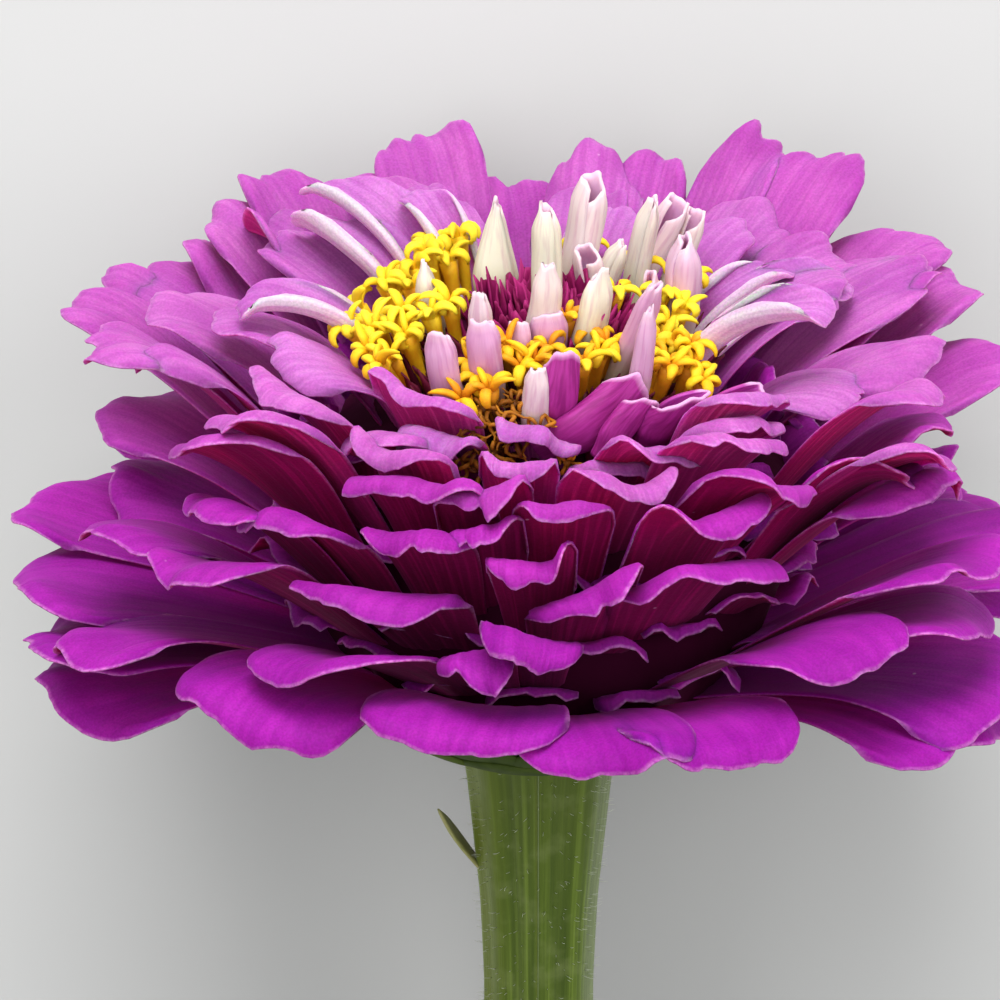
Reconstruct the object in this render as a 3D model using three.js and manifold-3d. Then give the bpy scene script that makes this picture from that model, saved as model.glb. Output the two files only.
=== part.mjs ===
// A double zinnia bloom on its cut stem, picked and laid down on a surface.
// Millimetres and degrees. The flower is drawn upright about its own axis, with the top of the
// stem at height 0, and is then laid on its side: the bloom faces -Y and the stem points to +Y.
// The origin is the middle of its footprint on the surface.
import * as THREE from 'three';
import { mergeVertices } from 'three/addons/utils/BufferGeometryUtils.js';
import Module from 'manifold-3d';

// ---------------------------------------------------------------- driving dimensions
const STEM_LENGTH = 120;
const STEM_END_RADIUS = 4.2;
const STEM_SIDES = 24;
const STEM_RIDGES = 8;
const RIDGE_DEPTH = 0.16;

const REST_TILT = 13; // the stem's axis above the surface
const HEAD_NOD = 5.5; // the bloom's own tilt on its stem, up from the surface
const HEAD_LEAN = 1;

const PETAL_THICKNESS = 0.6;
const PETAL_STEPS = { along: [0.02, 0.5, 0.85, 1], across: [-1, 0, 1] };
const RESTING_STEPS = { along: [0.02, 0.45, 0.72, 0.84, 0.92, 1], across: [-1, -0.55, 0, 0.55, 1] };
const PETAL_ROOT_DEPTH = 2;
const FLOOR_BEND_RADIUS = 2;
const CARRYING_COS = -0.9; // the petals this far round to the surface carry the head
const CARRYING_REACH = 0.035;
const PRESS = 0.15; // how far a resting petal's underside is flattened
const GAP = 0.3; // between one piece and the next
const ROOT_WIDTH = 0.46; // of the petal's width, at its root
const FULL_WIDTH_AT = 0.66; // of its length
const OUTLINE_POWER = 2.3; // the higher, the squarer a petal's end
const SIDE_TWIST = 20; // petals in front and at the sides turn their upper face to the back
const AZIMUTH_SPREAD = 58; // degrees by which a whorl's petals stray, shared among them
const ROLLED = { arch: 2, cupAtRoot: 0.3, cupAtTip: 0.85, ruffle: 0.25, blunt: 0.4 };
const SEED = 11;

// the petals' roots and the core that they stand out of: [height, radius]
const ROOTS = [[5.5, 13.2], [8, 12.6], [16, 10.8], [26, 9]];
const CORE = [[5.4, 13.4], [8, 15], [12, 17.5], [16, 20.5], [20, 21.5], [24, 19.5], [26.4, 14], [27.5, 9]];
const START_HANDLE = 0.72; // of a petal's span, the pull of its root on its curve
const TIP_HANDLE = 0.15;

// the whorls of ray petals, from the skirt up: [petals, first azimuth, root height, tip radius,
// tip height, start angle over the chord, slope at the tip, width, share of the radius kept in
// front, rise in front]. Azimuth 0 is the side turned up from the surface.
const WHORLS = [
  [13, 0, 6.0, 40, 6, 10, -22, 15.5, 0.95, 9],
  [13, 15, 6.2, 40.5, 12, 10, -20, 15, 0.94, 8],
  [13, 6, 6.5, 39.5, 18, 10, -16, 14, 0.88, 6],
  [13, 19, 6.9, 35, 22, 10, -20, 12.5, 0.88, 5.5],
  [13, 8, 7.6, 35, 27, 10, -16, 11.5, 0.84, 3.5],
  [13, 22, 8.8, 37, 31, 9, -10, 10.5, 0.8, 0.7],
  [13, 10, 10.8, 33, 32.5, 8, -8, 10, 0.76, 0],
  [12, 24, 13.6, 29.5, 33.5, 20, -4, 9, 0.76, -0.5],
  [11, 9, 17, 25, 34, 26, 0, 8, 0.8, -1],
  [10, 20, 21.5, 20, 34.5, 30, 0, 7, 0.94, -1],
];

// Petals that stand out, each in place of the nearest of its whorl: [whorl, azimuth, tip radius,
// tip height, width, start angle over the chord, slope at the tip, twist]
const SHAPED = [
  [0, 6, 37, 16.5, 13.5, 10, -34, 0],
  [0, 21, 38, 16.5, 13.5, 10, -30, 0],
  [0, 54, 40, 12, 16, 10, -20, 0],
  [0, 60, 40, 14, 16, 8, -12, 0],
  [0, 285, 40, 11.5, 17, 6, -10, 12],
  [0, 288, 39, 8, 18, 8, -12, 6],
  [0, 323, 38, 16.5, 15, 10, -30, 0],
  [0, 350, 36, 17.5, 15, 10, -34, 0],
  [1, 38, 37.5, 21.5, 12.5, 10, -26, 0],
  [1, 56, 38.5, 20.5, 14, 8, -14, -10],
  [1, 275, 40.5, 14, 17, 4, -6, 8],
  [1, 297, 40.5, 15.8, 12.5, 8, -10, 34],
  [1, 332, 35.5, 20.3, 14.5, 8, -24, 18],
  [1, 349, 34, 21.7, 6, 10, -44, 28],
  [1, 358, 34, 23.5, 7.5, 10, -38, -16],
  [2, 5, 31.5, 26.5, 9, 8, -34, 30],
  [2, 24, 31.5, 28, 12.5, 8, -16, 4],
  [2, 59, 38, 24, 14, 6, -8, -12],
  [2, 93, 40.5, 14.6, 15, 6, -8, -8],
  [2, 117, 41, 10, 14, 6, -6, 0],
  [2, 258, 41, 14, 15, 4, -6, 0],
  [2, 290, 36.5, 22.5, 13, 8, -8, 26],
  [2, 310, 36, 24.8, 12.5, 8, -14, 30],
  [2, 334, 32.5, 25.2, 13.5, 8, -26, 16],
  [3, 26, 30, 31, 11, 8, -30, 8],
  [3, 58, 32, 30, 10.5, 10, -16, -30],
  [3, 98, 31, 21, 12, 8, -12, -10],
  [3, 253, 35, 15.5, 12, 8, -8, 0],
  [3, 309, 33, 28.5, 9, 6, -24, 14],
  [3, 318, 31, 28.2, 10, 8, -28, 10],
  [3, 338, 30.5, 29.8, 8.5, 8, -36, 6],
  [3, 349, 29, 30, 6, 8, -34, 40],
  [3, 358, 30.5, 28.4, 7, 8, -44, 20],
  [4, 3, 28.5, 32, 8.5, 8, -40, 0],
  [4, 34, 30, 32.2, 10, 10, -30, -24],
  [4, 87, 31, 27.5, 11, 8, -12, -16],
  [4, 250, 36, 21, 13, 10, -10, 0],
  [4, 302, 32, 31.6, 12.5, 10, -18, 38],
  [4, 336, 27.5, 33.2, 11.5, 8, -20, 0],
  [4, 347, 27.5, 32, 7.5, 8, -38, 26],
  [5, 108, 37.5, 27, 11, 8, -4, 0],
  [5, 118, 37, 30, 10, 8, 0, 0],
  [5, 128, 37, 32, 10, 8, 2, 0],
  [5, 141, 36.5, 36, 9.5, 8, 4, 0],
  [5, 152, 36, 36, 6.5, 8, 6, 0],
  [5, 165, 34, 33.5, 7.5, 8, 6, 0],
  [5, 184, 33, 32, 7.8, 8, 6, 0],
  [5, 198, 35, 35, 9, 8, 6, 0],
  [5, 221, 34, 34.5, 9.5, 8, 4, 0],
  [5, 229, 35, 30, 10, 8, 2, 0],
  [5, 239, 37, 29.5, 10, 8, 0, 0],
  [5, 245, 39, 29.5, 8, 6, 0, 0],
  [5, 255, 38.5, 30.5, 8, 6, -6, 0],
  [6, 12, 25.5, 32, 8.5, 8, -40, 0],
  [6, 31, 27, 35.5, 8.5, 8, -14, -22],
  [6, 58, 35, 32.4, 9, 8, -8, -30],
  [6, 64, 32, 35.4, 10, 8, -14, -24],
  [6, 172, 33, 34.5, 8, 8, 6, 0],
  [6, 283, 35.5, 36.2, 9, 8, -16, 20],
  [6, 285, 32, 35.6, 9, 8, -12, 20],
  [6, 310, 31, 34.7, 9, 8, -20, 30],
  [6, 330, 25.5, 33.5, 8.5, 8, -38, 0],
  [7, 40, 24.5, 35.5, 8, 8, -12, -26],
  [7, 112, 32, 33, 9.5, 20, 0, 0],
  [7, 131, 29, 32.5, 9, 20, 2, 0],
  [7, 143, 30, 33, 9, 20, 4, 0],
  [7, 206, 29, 34.5, 8.5, 20, 4, 0],
  [7, 229, 30, 33.5, 9, 20, 4, 0],
  [7, 304, 26, 35, 8.5, 8, -18, 18],
  [7, 353, 23, 32.5, 6, 8, -40, 0],
  [8, 44, 23.5, 36.6, 8, 6, -10, -30],
  [8, 294, 22, 35, 8.5, 26, -10, 0],
  [8, 326, 19, 35.5, 9, 6, -14, 6],
  [8, 14, 18.5, 31, 6, 10, -12, 0],
  [9, 332, 20.5, 33.2, 6.5, 12, -20, 0],
  [9, 357, 18.5, 33.1, 7, 20, -26, -30],
  [9, 69, 22, 38.5, 7, 30, -4, 0],
  [9, 112, 25, 33, 7, 30, -4, 0],
  [9, 117, 21, 34, 6, 30, -4, 0],
  [9, 216, 19, 37.5, 6, 30, 0, 0],
  [9, 222, 26, 37, 7, 30, 0, 0],
  [9, 234, 23.5, 35.5, 7.5, 30, -4, 0],
  [9, 273, 23.5, 36, 6, 30, -16, 0],
];
const ROLLED_COS = 0.6; // the innermost petals are rolled up, but for those in front

// ---------------------------------------------------------------- small tools
const MERGED_FACETS = 0.04; // facets this flat are merged
const WELD = 0.002; // corners this close are made one
const SAME_POINT = 1e-4; // below what any two corners lie apart
const BLOCK = { width: 400, height: 40 }; // of what is cut away below a level

const wasm = await Module();
wasm.setup();

const sin = (degrees) => Math.sin(THREE.MathUtils.degToRad(degrees));
const cos = (degrees) => Math.cos(THREE.MathUtils.degToRad(degrees));

// a repeatable draw from 0 to 1 for one trait of one petal, floret or scale
function chance(one, trait) {
  let h = (Math.imul(one + 1, 0x9e3779b1) ^ Math.imul(trait + 1, 0x85ebca6b) ^ SEED) >>> 0;
  h = Math.imul(h ^ (h >>> 15), 0x2c1b3c6d) >>> 0;
  h = Math.imul(h ^ (h >>> 12), 0x297a2d39) >>> 0;
  return ((h ^ (h >>> 15)) >>> 0) / 2 ** 32;
}

const vary = (one, trait, spread) => (2 * chance(one, trait) - 1) * spread;

function smooth(from, to, x) {
  const t = THREE.MathUtils.clamp((x - from) / (to - from), 0, 1);
  return t * t * (3 - 2 * t);
}

function radiusAt(table, height) {
  for (let i = 1; i < table.length; i += 1) {
    const [h0, r0] = table[i - 1];
    const [h1, r1] = table[i];
    if (height <= h1) return r0 + (r1 - r0) * THREE.MathUtils.clamp((height - h0) / (h1 - h0), 0, 1);
  }
  return table[table.length - 1][1];
}

function toSolid(geometry) {
  const bare = geometry.clone();
  bare.deleteAttribute('normal');
  bare.deleteAttribute('uv');
  const merged = mergeVertices(bare, SAME_POINT);
  return new wasm.Manifold(
    new wasm.Mesh({
      numProp: 3,
      vertProperties: new Float32Array(merged.attributes.position.array),
      triVerts: new Uint32Array(merged.index.array),
    }),
  );
}

function toGeometry(solid) {
  const mesh = solid.getMesh();
  const geometry = new THREE.BufferGeometry();
  geometry.setAttribute('position', new THREE.BufferAttribute(new Float32Array(mesh.vertProperties), 3));
  geometry.setIndex(new THREE.BufferAttribute(new Uint32Array(mesh.triVerts), 1));
  return geometry;
}

// joins the solids two by two, which keeps each join small
function join(solids) {
  let row = solids;
  while (row.length > 1) {
    const next = [];
    for (let i = 0; i < row.length; i += 2) {
      next.push(i + 1 < row.length ? row[i].add(row[i + 1]) : row[i]);
    }
    row = next;
  }
  return row[0];
}

const largest = (solid) => solid.decompose().sort((a, b) => b.volume() - a.volume())[0];

// one body: hollows that joining sealed are filled, small facets merged, and vertices that all
// but touch made one
function whole(solid) {
  const welded = mergeVertices(toGeometry(largest(solid).asOriginal().simplify(MERGED_FACETS)), WELD);
  const kept = [];
  for (let i = 0; i < welded.index.count; i += 3) {
    const [a, b, c] = welded.index.array.slice(i, i + 3);
    if (a !== b && b !== c && c !== a) kept.push(a, b, c);
  }
  welded.setIndex(kept);
  return largest(toSolid(welded));
}

// a solid of revolution about the flower's axis, from [radius, height] pairs that start and end on it
function turned(profile, sides) {
  const geometry = new THREE.LatheGeometry(
    profile.map(([radius, height]) => new THREE.Vector2(radius, height)),
    sides,
  );
  return geometry.rotateX(Math.PI / 2);
}

// a block with its middle at a height of the frame that the matrix gives
function block(height, matrix) {
  const { width, height: depth } = BLOCK;
  return toSolid(new THREE.BoxGeometry(width, width, depth).translate(0, 0, height).applyMatrix4(matrix));
}

// ---------------------------------------------------------------- how the flower lies
const flower = new THREE.Group();
flower.rotation.set(THREE.MathUtils.degToRad(REST_TILT - 90), 0, Math.PI, 'ZYX');
const stemTopHeight = STEM_LENGTH * sin(REST_TILT) + (STEM_END_RADIUS + RIDGE_DEPTH) * cos(REST_TILT);
flower.position.z = stemTopHeight;

const head = new THREE.Group();
head.rotation.set(THREE.MathUtils.degToRad(HEAD_NOD), THREE.MathUtils.degToRad(HEAD_LEAN), 0, 'YXZ');
flower.add(head);
flower.updateMatrixWorld(true);
const toWorld = head.matrixWorld;
const fromWorld = toWorld.clone().invert();

// a petal that would pass through the surface bends over on it and lies along it
function bendOnSurface(point, direction) {
  const low = PETAL_THICKNESS / 2 - PRESS;
  const world = point.clone().applyMatrix4(toWorld);
  const past = low + FLOOR_BEND_RADIUS - world.z;
  if (past <= 0) return point;
  const angle = Math.min(past / FLOOR_BEND_RADIUS, Math.PI / 2);
  const flat = Math.max(past - (FLOOR_BEND_RADIUS * Math.PI) / 2, 0);
  world.z = low + FLOOR_BEND_RADIUS * (1 - Math.sin(angle));
  world.y += direction * (FLOOR_BEND_RADIUS * (1 - Math.cos(angle)) + flat);
  return world.applyMatrix4(fromWorld);
}

// ---------------------------------------------------------------- ray petals
function petalTraits(number, azimuth, row) {
  const [, , root, tipRadius, tipHeight, arch, droop, width, frontShare, frontRise] = row;
  const front = Math.max(0, cos(azimuth));
  const reach = cos(azimuth) < CARRYING_COS ? CARRYING_REACH : vary(number, 11, 0.045);
  const rootHeight = root + vary(number, 12, 0.3);
  return {
    azimuth,
    root: new THREE.Vector2(radiusAt(ROOTS, rootHeight) - PETAL_ROOT_DEPTH, rootHeight),
    tip: new THREE.Vector2(
      tipRadius * (1 + reach) * (1 + (frontShare - 1) * front),
      tipHeight + frontRise * front + vary(number, 13, 0.6),
    ),
    arch: arch + vary(number, 14, 2),
    droop: droop + vary(number, 15, 7),
    width: width * (1 + vary(number, 16, 0.14)),
    blunt: 0.36 + vary(number, 1, 0.1),
    cupAtRoot: 0.12,
    cupAtTip: -0.2 + vary(number, 2, 0.08),
    ruffle: 0.45 + vary(number, 3, 0.3),
    waves: 4.5 + vary(number, 4, 1.5),
    phase: 2 * Math.PI * chance(number, 5),
    twist: vary(number, 6, 4) - SIDE_TWIST * sin(azimuth) * Math.max(0, cos(azimuth) + 0.4),
    sway: vary(number, 7, 1.3),
    bendDirection: tipHeight < 15 ? 1 : -1,
  };
}

// which place of the whorl each of its shaped petals takes
function shapedPetals(whorl, evenAzimuths) {
  const taken = new Map();
  for (const row of SHAPED.filter(([of]) => of === whorl)) {
    const away = (i) => Math.abs(THREE.MathUtils.euclideanModulo(evenAzimuths[i] - row[1] + 180, 360) - 180);
    const free = [...evenAzimuths.keys()].filter((i) => !taken.has(i));
    taken.set(free.reduce((best, i) => (away(i) < away(best) ? i : best)), row);
  }
  return taken;
}

function allPetals() {
  const petals = [];
  WHORLS.forEach((row, whorl) => {
    const [count, first] = row;
    const evenAzimuths = Array.from({ length: count }, (_, i) => first + (360 / count) * i);
    const taken = shapedPetals(whorl, evenAzimuths);
    evenAzimuths.forEach((even, i) => {
      const number = petals.length;
      const loose = cos(even) < CARRYING_COS ? even : even + vary(number, 10, AZIMUTH_SPREAD / count);
      const petal = petalTraits(number, taken.has(i) ? taken.get(i)[1] : loose, row);
      if (taken.has(i)) {
        const [, , radius, height, width, arch, droop, twist] = taken.get(i);
        petal.tip.set(radius, height);
        Object.assign(petal, { width, arch, droop, twist });
      }
      if (whorl === WHORLS.length - 1 && cos(petal.azimuth) < ROLLED_COS) Object.assign(petal, ROLLED);
      petals.push(petal);
    });
  });
  return petals;
}

// a point of the petal's middle surface: u runs from root to tip, v from margin to margin
function petalPoint(petal, u, v) {
  const outline = 1 - petal.blunt * (1 - Math.sqrt(Math.max(0, 1 - Math.abs(v) ** OUTLINE_POWER)));
  const t = u * outline;
  const { root, tip } = petal;
  const chord = tip.clone().sub(root);
  const span = chord.length();
  const startAngle = THREE.MathUtils.radToDeg(chord.angle()) + petal.arch;
  const leaving = new THREE.Vector2(cos(startAngle), sin(startAngle));
  const leave = root.clone().add(leaving.multiplyScalar(START_HANDLE * span));
  const slope = new THREE.Vector2(cos(petal.droop), sin(petal.droop));
  const arrive = tip.clone().sub(slope.multiplyScalar(TIP_HANDLE * span));
  const curve = new THREE.CubicBezierCurve(root, leave, arrive, tip);
  const centre = curve.getPoint(t);
  const along = curve.getTangent(t);

  const half = 0.5 * petal.width * (ROOT_WIDTH + (1 - ROOT_WIDTH) * smooth(0, FULL_WIDTH_AT, t));
  let across = half * v + petal.sway * t * t;
  const cup = petal.cupAtRoot + (petal.cupAtTip - petal.cupAtRoot) * smooth(0.35, 1, t);
  let lift = cup * half * v * v;
  const wave = Math.sin(petal.waves * v + petal.phase) * (0.35 + 0.65 * Math.abs(v));
  lift += petal.ruffle * smooth(0.5, 1, t) * wave;
  const turn = petal.twist * t;
  [across, lift] = [across * cos(turn) - lift * sin(turn), across * sin(turn) + lift * cos(turn)];

  const radius = centre.x - along.y * lift;
  const height = centre.y + along.x * lift;
  const point = new THREE.Vector3(
    radius * sin(petal.azimuth) + across * cos(petal.azimuth),
    -radius * cos(petal.azimuth) + across * sin(petal.azimuth),
    height,
  );
  return bendOnSurface(point, petal.bendDirection);
}

// a closed blade of even thickness about a surface point(u, v), split alike on both faces
function blade(point, stepsAlong, stepsAcross, thickness) {
  const small = 0.01;
  const rows = stepsAlong.length;
  const columns = stepsAcross.length;
  const faces = [[], []];
  for (const u of stepsAlong) {
    for (const v of stepsAcross) {
      const along = point(Math.min(u + small, 1), v).sub(point(Math.max(u - small, 0), v));
      const across = point(u, Math.min(v + small, 1)).sub(point(u, Math.max(v - small, -1)));
      const normal = along.cross(across).normalize().multiplyScalar(-thickness / 2);
      const middle = point(u, v);
      faces[0].push(...middle.clone().add(normal).toArray());
      faces[1].push(...middle.clone().sub(normal).toArray());
    }
  }
  const at = (row, column, side) => side * rows * columns + row * columns + column;
  const triangles = [];
  const quad = (a, b, c, d) => triangles.push(a, b, c, a, c, d);
  for (let i = 0; i + 1 < rows; i += 1) {
    for (let j = 0; j + 1 < columns; j += 1) {
      const corners = [at(i, j, 0), at(i + 1, j, 0), at(i + 1, j + 1, 0), at(i, j + 1, 0)];
      const [a, b, c, d] = corners;
      const [e, f, g, h] = corners.map((corner) => corner + rows * columns);
      triangles.push(c, b, a, d, c, a);
      triangles.push(e, f, g, e, g, h);
    }
    quad(at(i, 0, 0), at(i + 1, 0, 0), at(i + 1, 0, 1), at(i, 0, 1));
    quad(at(i, columns - 1, 0), at(i, columns - 1, 1), at(i + 1, columns - 1, 1), at(i + 1, columns - 1, 0));
  }
  for (let j = 0; j + 1 < columns; j += 1) {
    quad(at(0, j, 0), at(0, j, 1), at(0, j + 1, 1), at(0, j + 1, 0));
    quad(at(rows - 1, j, 0), at(rows - 1, j + 1, 0), at(rows - 1, j + 1, 1), at(rows - 1, j, 1));
  }
  const geometry = new THREE.BufferGeometry();
  geometry.setAttribute('position', new THREE.BufferAttribute(new Float32Array(faces.flat()), 3));
  geometry.setIndex(triangles);
  return geometry;
}

function rayPetals() {
  const bottom = CORE[0][0];
  const top = CORE[CORE.length - 1][0];
  const profile = [[0, bottom], ...CORE.map(([height, radius]) => [radius, height]), [0, top]];
  const solids = [toSolid(turned(profile, 32))];
  for (const petal of allPetals()) {
    const point = (u, v) => petalPoint(petal, u, v);
    const rests = point(1, 0).applyMatrix4(toWorld).z < FLOOR_BEND_RADIUS;
    const { along, across } = rests ? RESTING_STEPS : PETAL_STEPS;
    solids.push(toSolid(blade(point, along, across, PETAL_THICKNESS)));
  }
  return whole(join(solids).subtract(block(-BLOCK.height / 2, fromWorld)));
}

// ---------------------------------------------------------------- the stem
const STEM_PROFILE = [
  [STEM_END_RADIUS, -STEM_LENGTH], [4.1, -60], [4.15, -22], [4.45, -15], [4.95, -10],
  [5.5, -4.5], [6.1, -0.6], [6.4, 1],
];
const BRACTLET = {
  azimuth: -90, rootHeight: -12.4, rootRadius: 4.4, tipHeight: -7.6, tipRadius: 8, width: 2.4,
  thickness: 0.8,
};

function stem() {
  const profile = [[0, STEM_PROFILE[0][1]], ...STEM_PROFILE, [0, 1]];
  const shaft = turned(profile, STEM_SIDES);
  const places = shaft.attributes.position;
  for (let i = 0; i < places.count; i += 1) {
    const x = places.getX(i);
    const y = places.getY(i);
    const radius = Math.hypot(x, y);
    if (radius > 0) {
      const ridge = 1 + (RIDGE_DEPTH * Math.cos(STEM_RIDGES * Math.atan2(y, x))) / radius;
      places.setXYZ(i, x * ridge, y * ridge, places.getZ(i));
    }
  }
  const { azimuth, rootHeight, rootRadius, tipHeight, tipRadius, width } = BRACTLET;
  const scale = (u, v) => {
    const radius = rootRadius + (tipRadius - rootRadius) * u;
    const side = 0.5 * width * v * (1 - 0.85 * u * u);
    return new THREE.Vector3(
      radius * sin(azimuth) + side * cos(azimuth),
      -radius * cos(azimuth) + side * sin(azimuth),
      rootHeight + (tipHeight - rootHeight) * u ** 1.4,
    );
  };
  const bractlet = toSolid(blade(scale, [0, 0.5, 1], [-1, 1], BRACTLET.thickness));
  return whole(toSolid(shaft).add(bractlet).subtract(block(BLOCK.height / 2, head.matrix)));
}

// ---------------------------------------------------------------- the green bowl and its scales
const BOWL = [[6.2, 0.3], [8.8, 1.3], [11.4, 2.6], [13.4, 3.7], [14, 4.6]];
// rows of scales up the bowl: [scales, first azimuth, start and end along the bowl, width]
const SCALE_ROWS = [
  [8, 0, 0.12, 0.5, 6],
  [9, 20, 0.36, 0.76, 7.2],
  [10, 2, 0.6, 1, 7.8],
];
const SCALE = { thickness: 1.8, sunk: 0.75, lifted: -0.1 };

function involucre() {
  const profile = [[0, BOWL[0][1]], ...BOWL, [0, BOWL[BOWL.length - 1][1]]];
  const solids = [toSolid(turned(profile, 20))];
  const side = new THREE.CatmullRomCurve3(BOWL.map(([x, y]) => new THREE.Vector3(x, y, 0)));
  const length = side.getLength();
  SCALE_ROWS.forEach(([count, first, start, end, width]) => {
    for (let i = 0; i < count; i += 1) {
      const azimuth = first + (360 / count) * i;
      const scale = (u, v) => {
        const t = start + (end - start) * u * (1 - 0.3 * v * v);
        const on = side.getPoint(Math.min(t, 1));
        const along = side.getTangent(Math.min(t, 1));
        const out = -SCALE.sunk + (SCALE.sunk + SCALE.lifted) * u;
        const past = Math.max(t - 1, 0) * length;
        const radius = on.x + along.y * out + along.x * past;
        const height = on.y - along.x * out + along.y * past;
        const angle = azimuth + THREE.MathUtils.radToDeg((0.5 * width * v * (1 - 0.35 * u * u)) / on.x);
        return new THREE.Vector3(radius * sin(angle), -radius * cos(angle), height);
      };
      solids.push(toSolid(blade(scale, [0, 0.55, 1], [-1, 0, 1], SCALE.thickness)));
    }
  });
  return whole(join(solids).subtract(block(GAP - BLOCK.height / 2, new THREE.Matrix4())));
}

// ---------------------------------------------------------------- the middle of the bloom
const FLORET_PLATE = [[0, 27.8], [9.2, 27.8], [8.9, 29.3], [7.8, 30], [0, 30]];
// rings of yellow florets: [florets, first azimuth, root radius, root height, lean, length]
const FLORET_RINGS = [
  [14, 0, 6.9, 29.5, 25, 7],
  [15, 12, 8.3, 28.9, 34, 6.8],
];
const FLORET = { tube: 0.7, star: 2.2, lobes: 5, notch: 1, thickness: 0.8 };
const TUBE_END = 0.35; // inside the star
const TUBE_ROOT = -1; // inside the plate

const YOUNG_PLATE = [[0, 30.3], [5.4, 30.3], [5.2, 31.7], [4.6, 32.1], [0, 32.1]];
// rolled young rays in a ring: [azimuth, lean, length, width]
const YOUNG_RAYS = [
  [-8, -4, 12.2, 2.3], [28, 10, 8, 2.5], [66, 14, 9, 2.6], [100, 16, 10.5, 2.6], [134, 12, 9.5, 2.6],
  [170, 16, 10.5, 2.7], [206, 8, 11, 2.6], [240, 16, 10, 2.6], [280, 14, 8, 2.6], [318, 12, 7.5, 2.6],
];
const YOUNG_ROOT = { radius: 4.1, height: 31.5 };

const CHAFF_BUTTON = [[0, 32.4], [2.5, 32.4], [2.4, 33.9], [1.5, 35.1], [0, 35.5]];
const BRISTLES = { count: 9, radius: 1.5, height: 33.7, lean: 12, length: 3.2 };

// places a piece drawn along +Z on the head, at a radius and height, leaning outward
function planted(geometry, azimuth, radius, height, lean) {
  geometry.rotateX(THREE.MathUtils.degToRad(lean));
  geometry.translate(0, -radius, height);
  return toSolid(geometry.rotateZ(THREE.MathUtils.degToRad(azimuth)));
}

function florets() {
  const outline = new THREE.Shape();
  for (let i = 0; i < 2 * FLORET.lobes; i += 1) {
    const radius = i % 2 ? FLORET.notch : FLORET.star;
    const angle = (Math.PI * i) / FLORET.lobes;
    const corner = [radius * Math.cos(angle), radius * Math.sin(angle)];
    if (i) outline.lineTo(...corner);
    else outline.moveTo(...corner);
  }
  const solids = [toSolid(turned(FLORET_PLATE, 32))];
  let number = 0;
  for (const [count, first, radius, height, lean, length] of FLORET_RINGS) {
    for (let i = 0; i < count; i += 1) {
      const azimuth = first + (360 / count) * (i + vary(number, 30, 0.12));
      const long = length * (1 + vary(number, 31, 0.08));
      const star = new THREE.ExtrudeGeometry(outline, { depth: FLORET.thickness, bevelEnabled: false });
      star.rotateZ(2 * Math.PI * chance(number, 32)).translate(0, 0, long - FLORET.thickness);
      const end = long - TUBE_END;
      const tube = turned([[0, TUBE_ROOT], [FLORET.tube, TUBE_ROOT], [FLORET.tube, end], [0, end]], 6);
      solids.push(planted(star, azimuth, radius, height, lean));
      solids.push(planted(tube, azimuth, radius, height, lean));
      number += 1;
    }
  }
  return whole(join(solids));
}

function youngRays() {
  const solids = [toSolid(turned(YOUNG_PLATE, 24))];
  for (const [azimuth, lean, length, width] of YOUNG_RAYS) {
    const half = width / 2;
    const outline = [[0, -1], [0.9, -1], [half, 0.45 * length], [0.85 * half, 0.85 * length], [0, length]];
    const roll = turned(outline, 6);
    roll.scale(1, 0.75, 1);
    solids.push(planted(roll, azimuth, YOUNG_ROOT.radius, YOUNG_ROOT.height, lean));
  }
  return whole(join(solids));
}

function chaff() {
  const solids = [toSolid(turned(CHAFF_BUTTON, 16))];
  const { count, radius, height, lean, length } = BRISTLES;
  for (let i = 0; i < count; i += 1) {
    const bristle = turned([[0, 0], [0.6, 0], [0, length + vary(i, 40, 0.6)]], 5);
    solids.push(planted(bristle, (360 / count) * i, radius, height, lean));
  }
  return whole(join(solids));
}

// ---------------------------------------------------------------- the scene
function place(group, name, solid, color, roughness) {
  const geometry = toGeometry(solid);
  geometry.computeVertexNormals();
  const mesh = new THREE.Mesh(geometry, new THREE.MeshStandardMaterial({ color, roughness, metalness: 0 }));
  mesh.name = name;
  group.add(mesh);
}

place(flower, 'stem', stem(), 0x5d7a2c, 0.7);
place(head, 'involucre', involucre(), 0x4f6b2a, 0.7);
place(head, 'ray_petals', rayPetals(), 0xa02aa8, 0.6);
place(head, 'disc_florets', florets(), 0xe8c020, 0.6);
place(head, 'young_rays', youngRays(), 0xe9d6dc, 0.6);
place(head, 'chaff', chaff(), 0x7a1240, 0.7);

flower.updateMatrixWorld(true);
const footprint = new THREE.Box3().setFromObject(flower, true).getCenter(new THREE.Vector3());
flower.position.x -= footprint.x;
flower.position.y -= footprint.y;

export default flower;
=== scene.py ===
"""A picked double zinnia on its cut stem, laid down on a pale table.

Sizes are in millimetres and degrees in the flower's own frame, as in the solid model: its axis is
+z, the top of the stem is at z = 0 and azimuth 0 is the side turned up from the table. world()
lays it down and turns it into metres. Azimuth 90 is at the camera's right.
"""

from math import atan2, cos, pi, radians, sin, sqrt

import bpy
import numpy as np
from mathutils import Matrix, Vector

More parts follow.
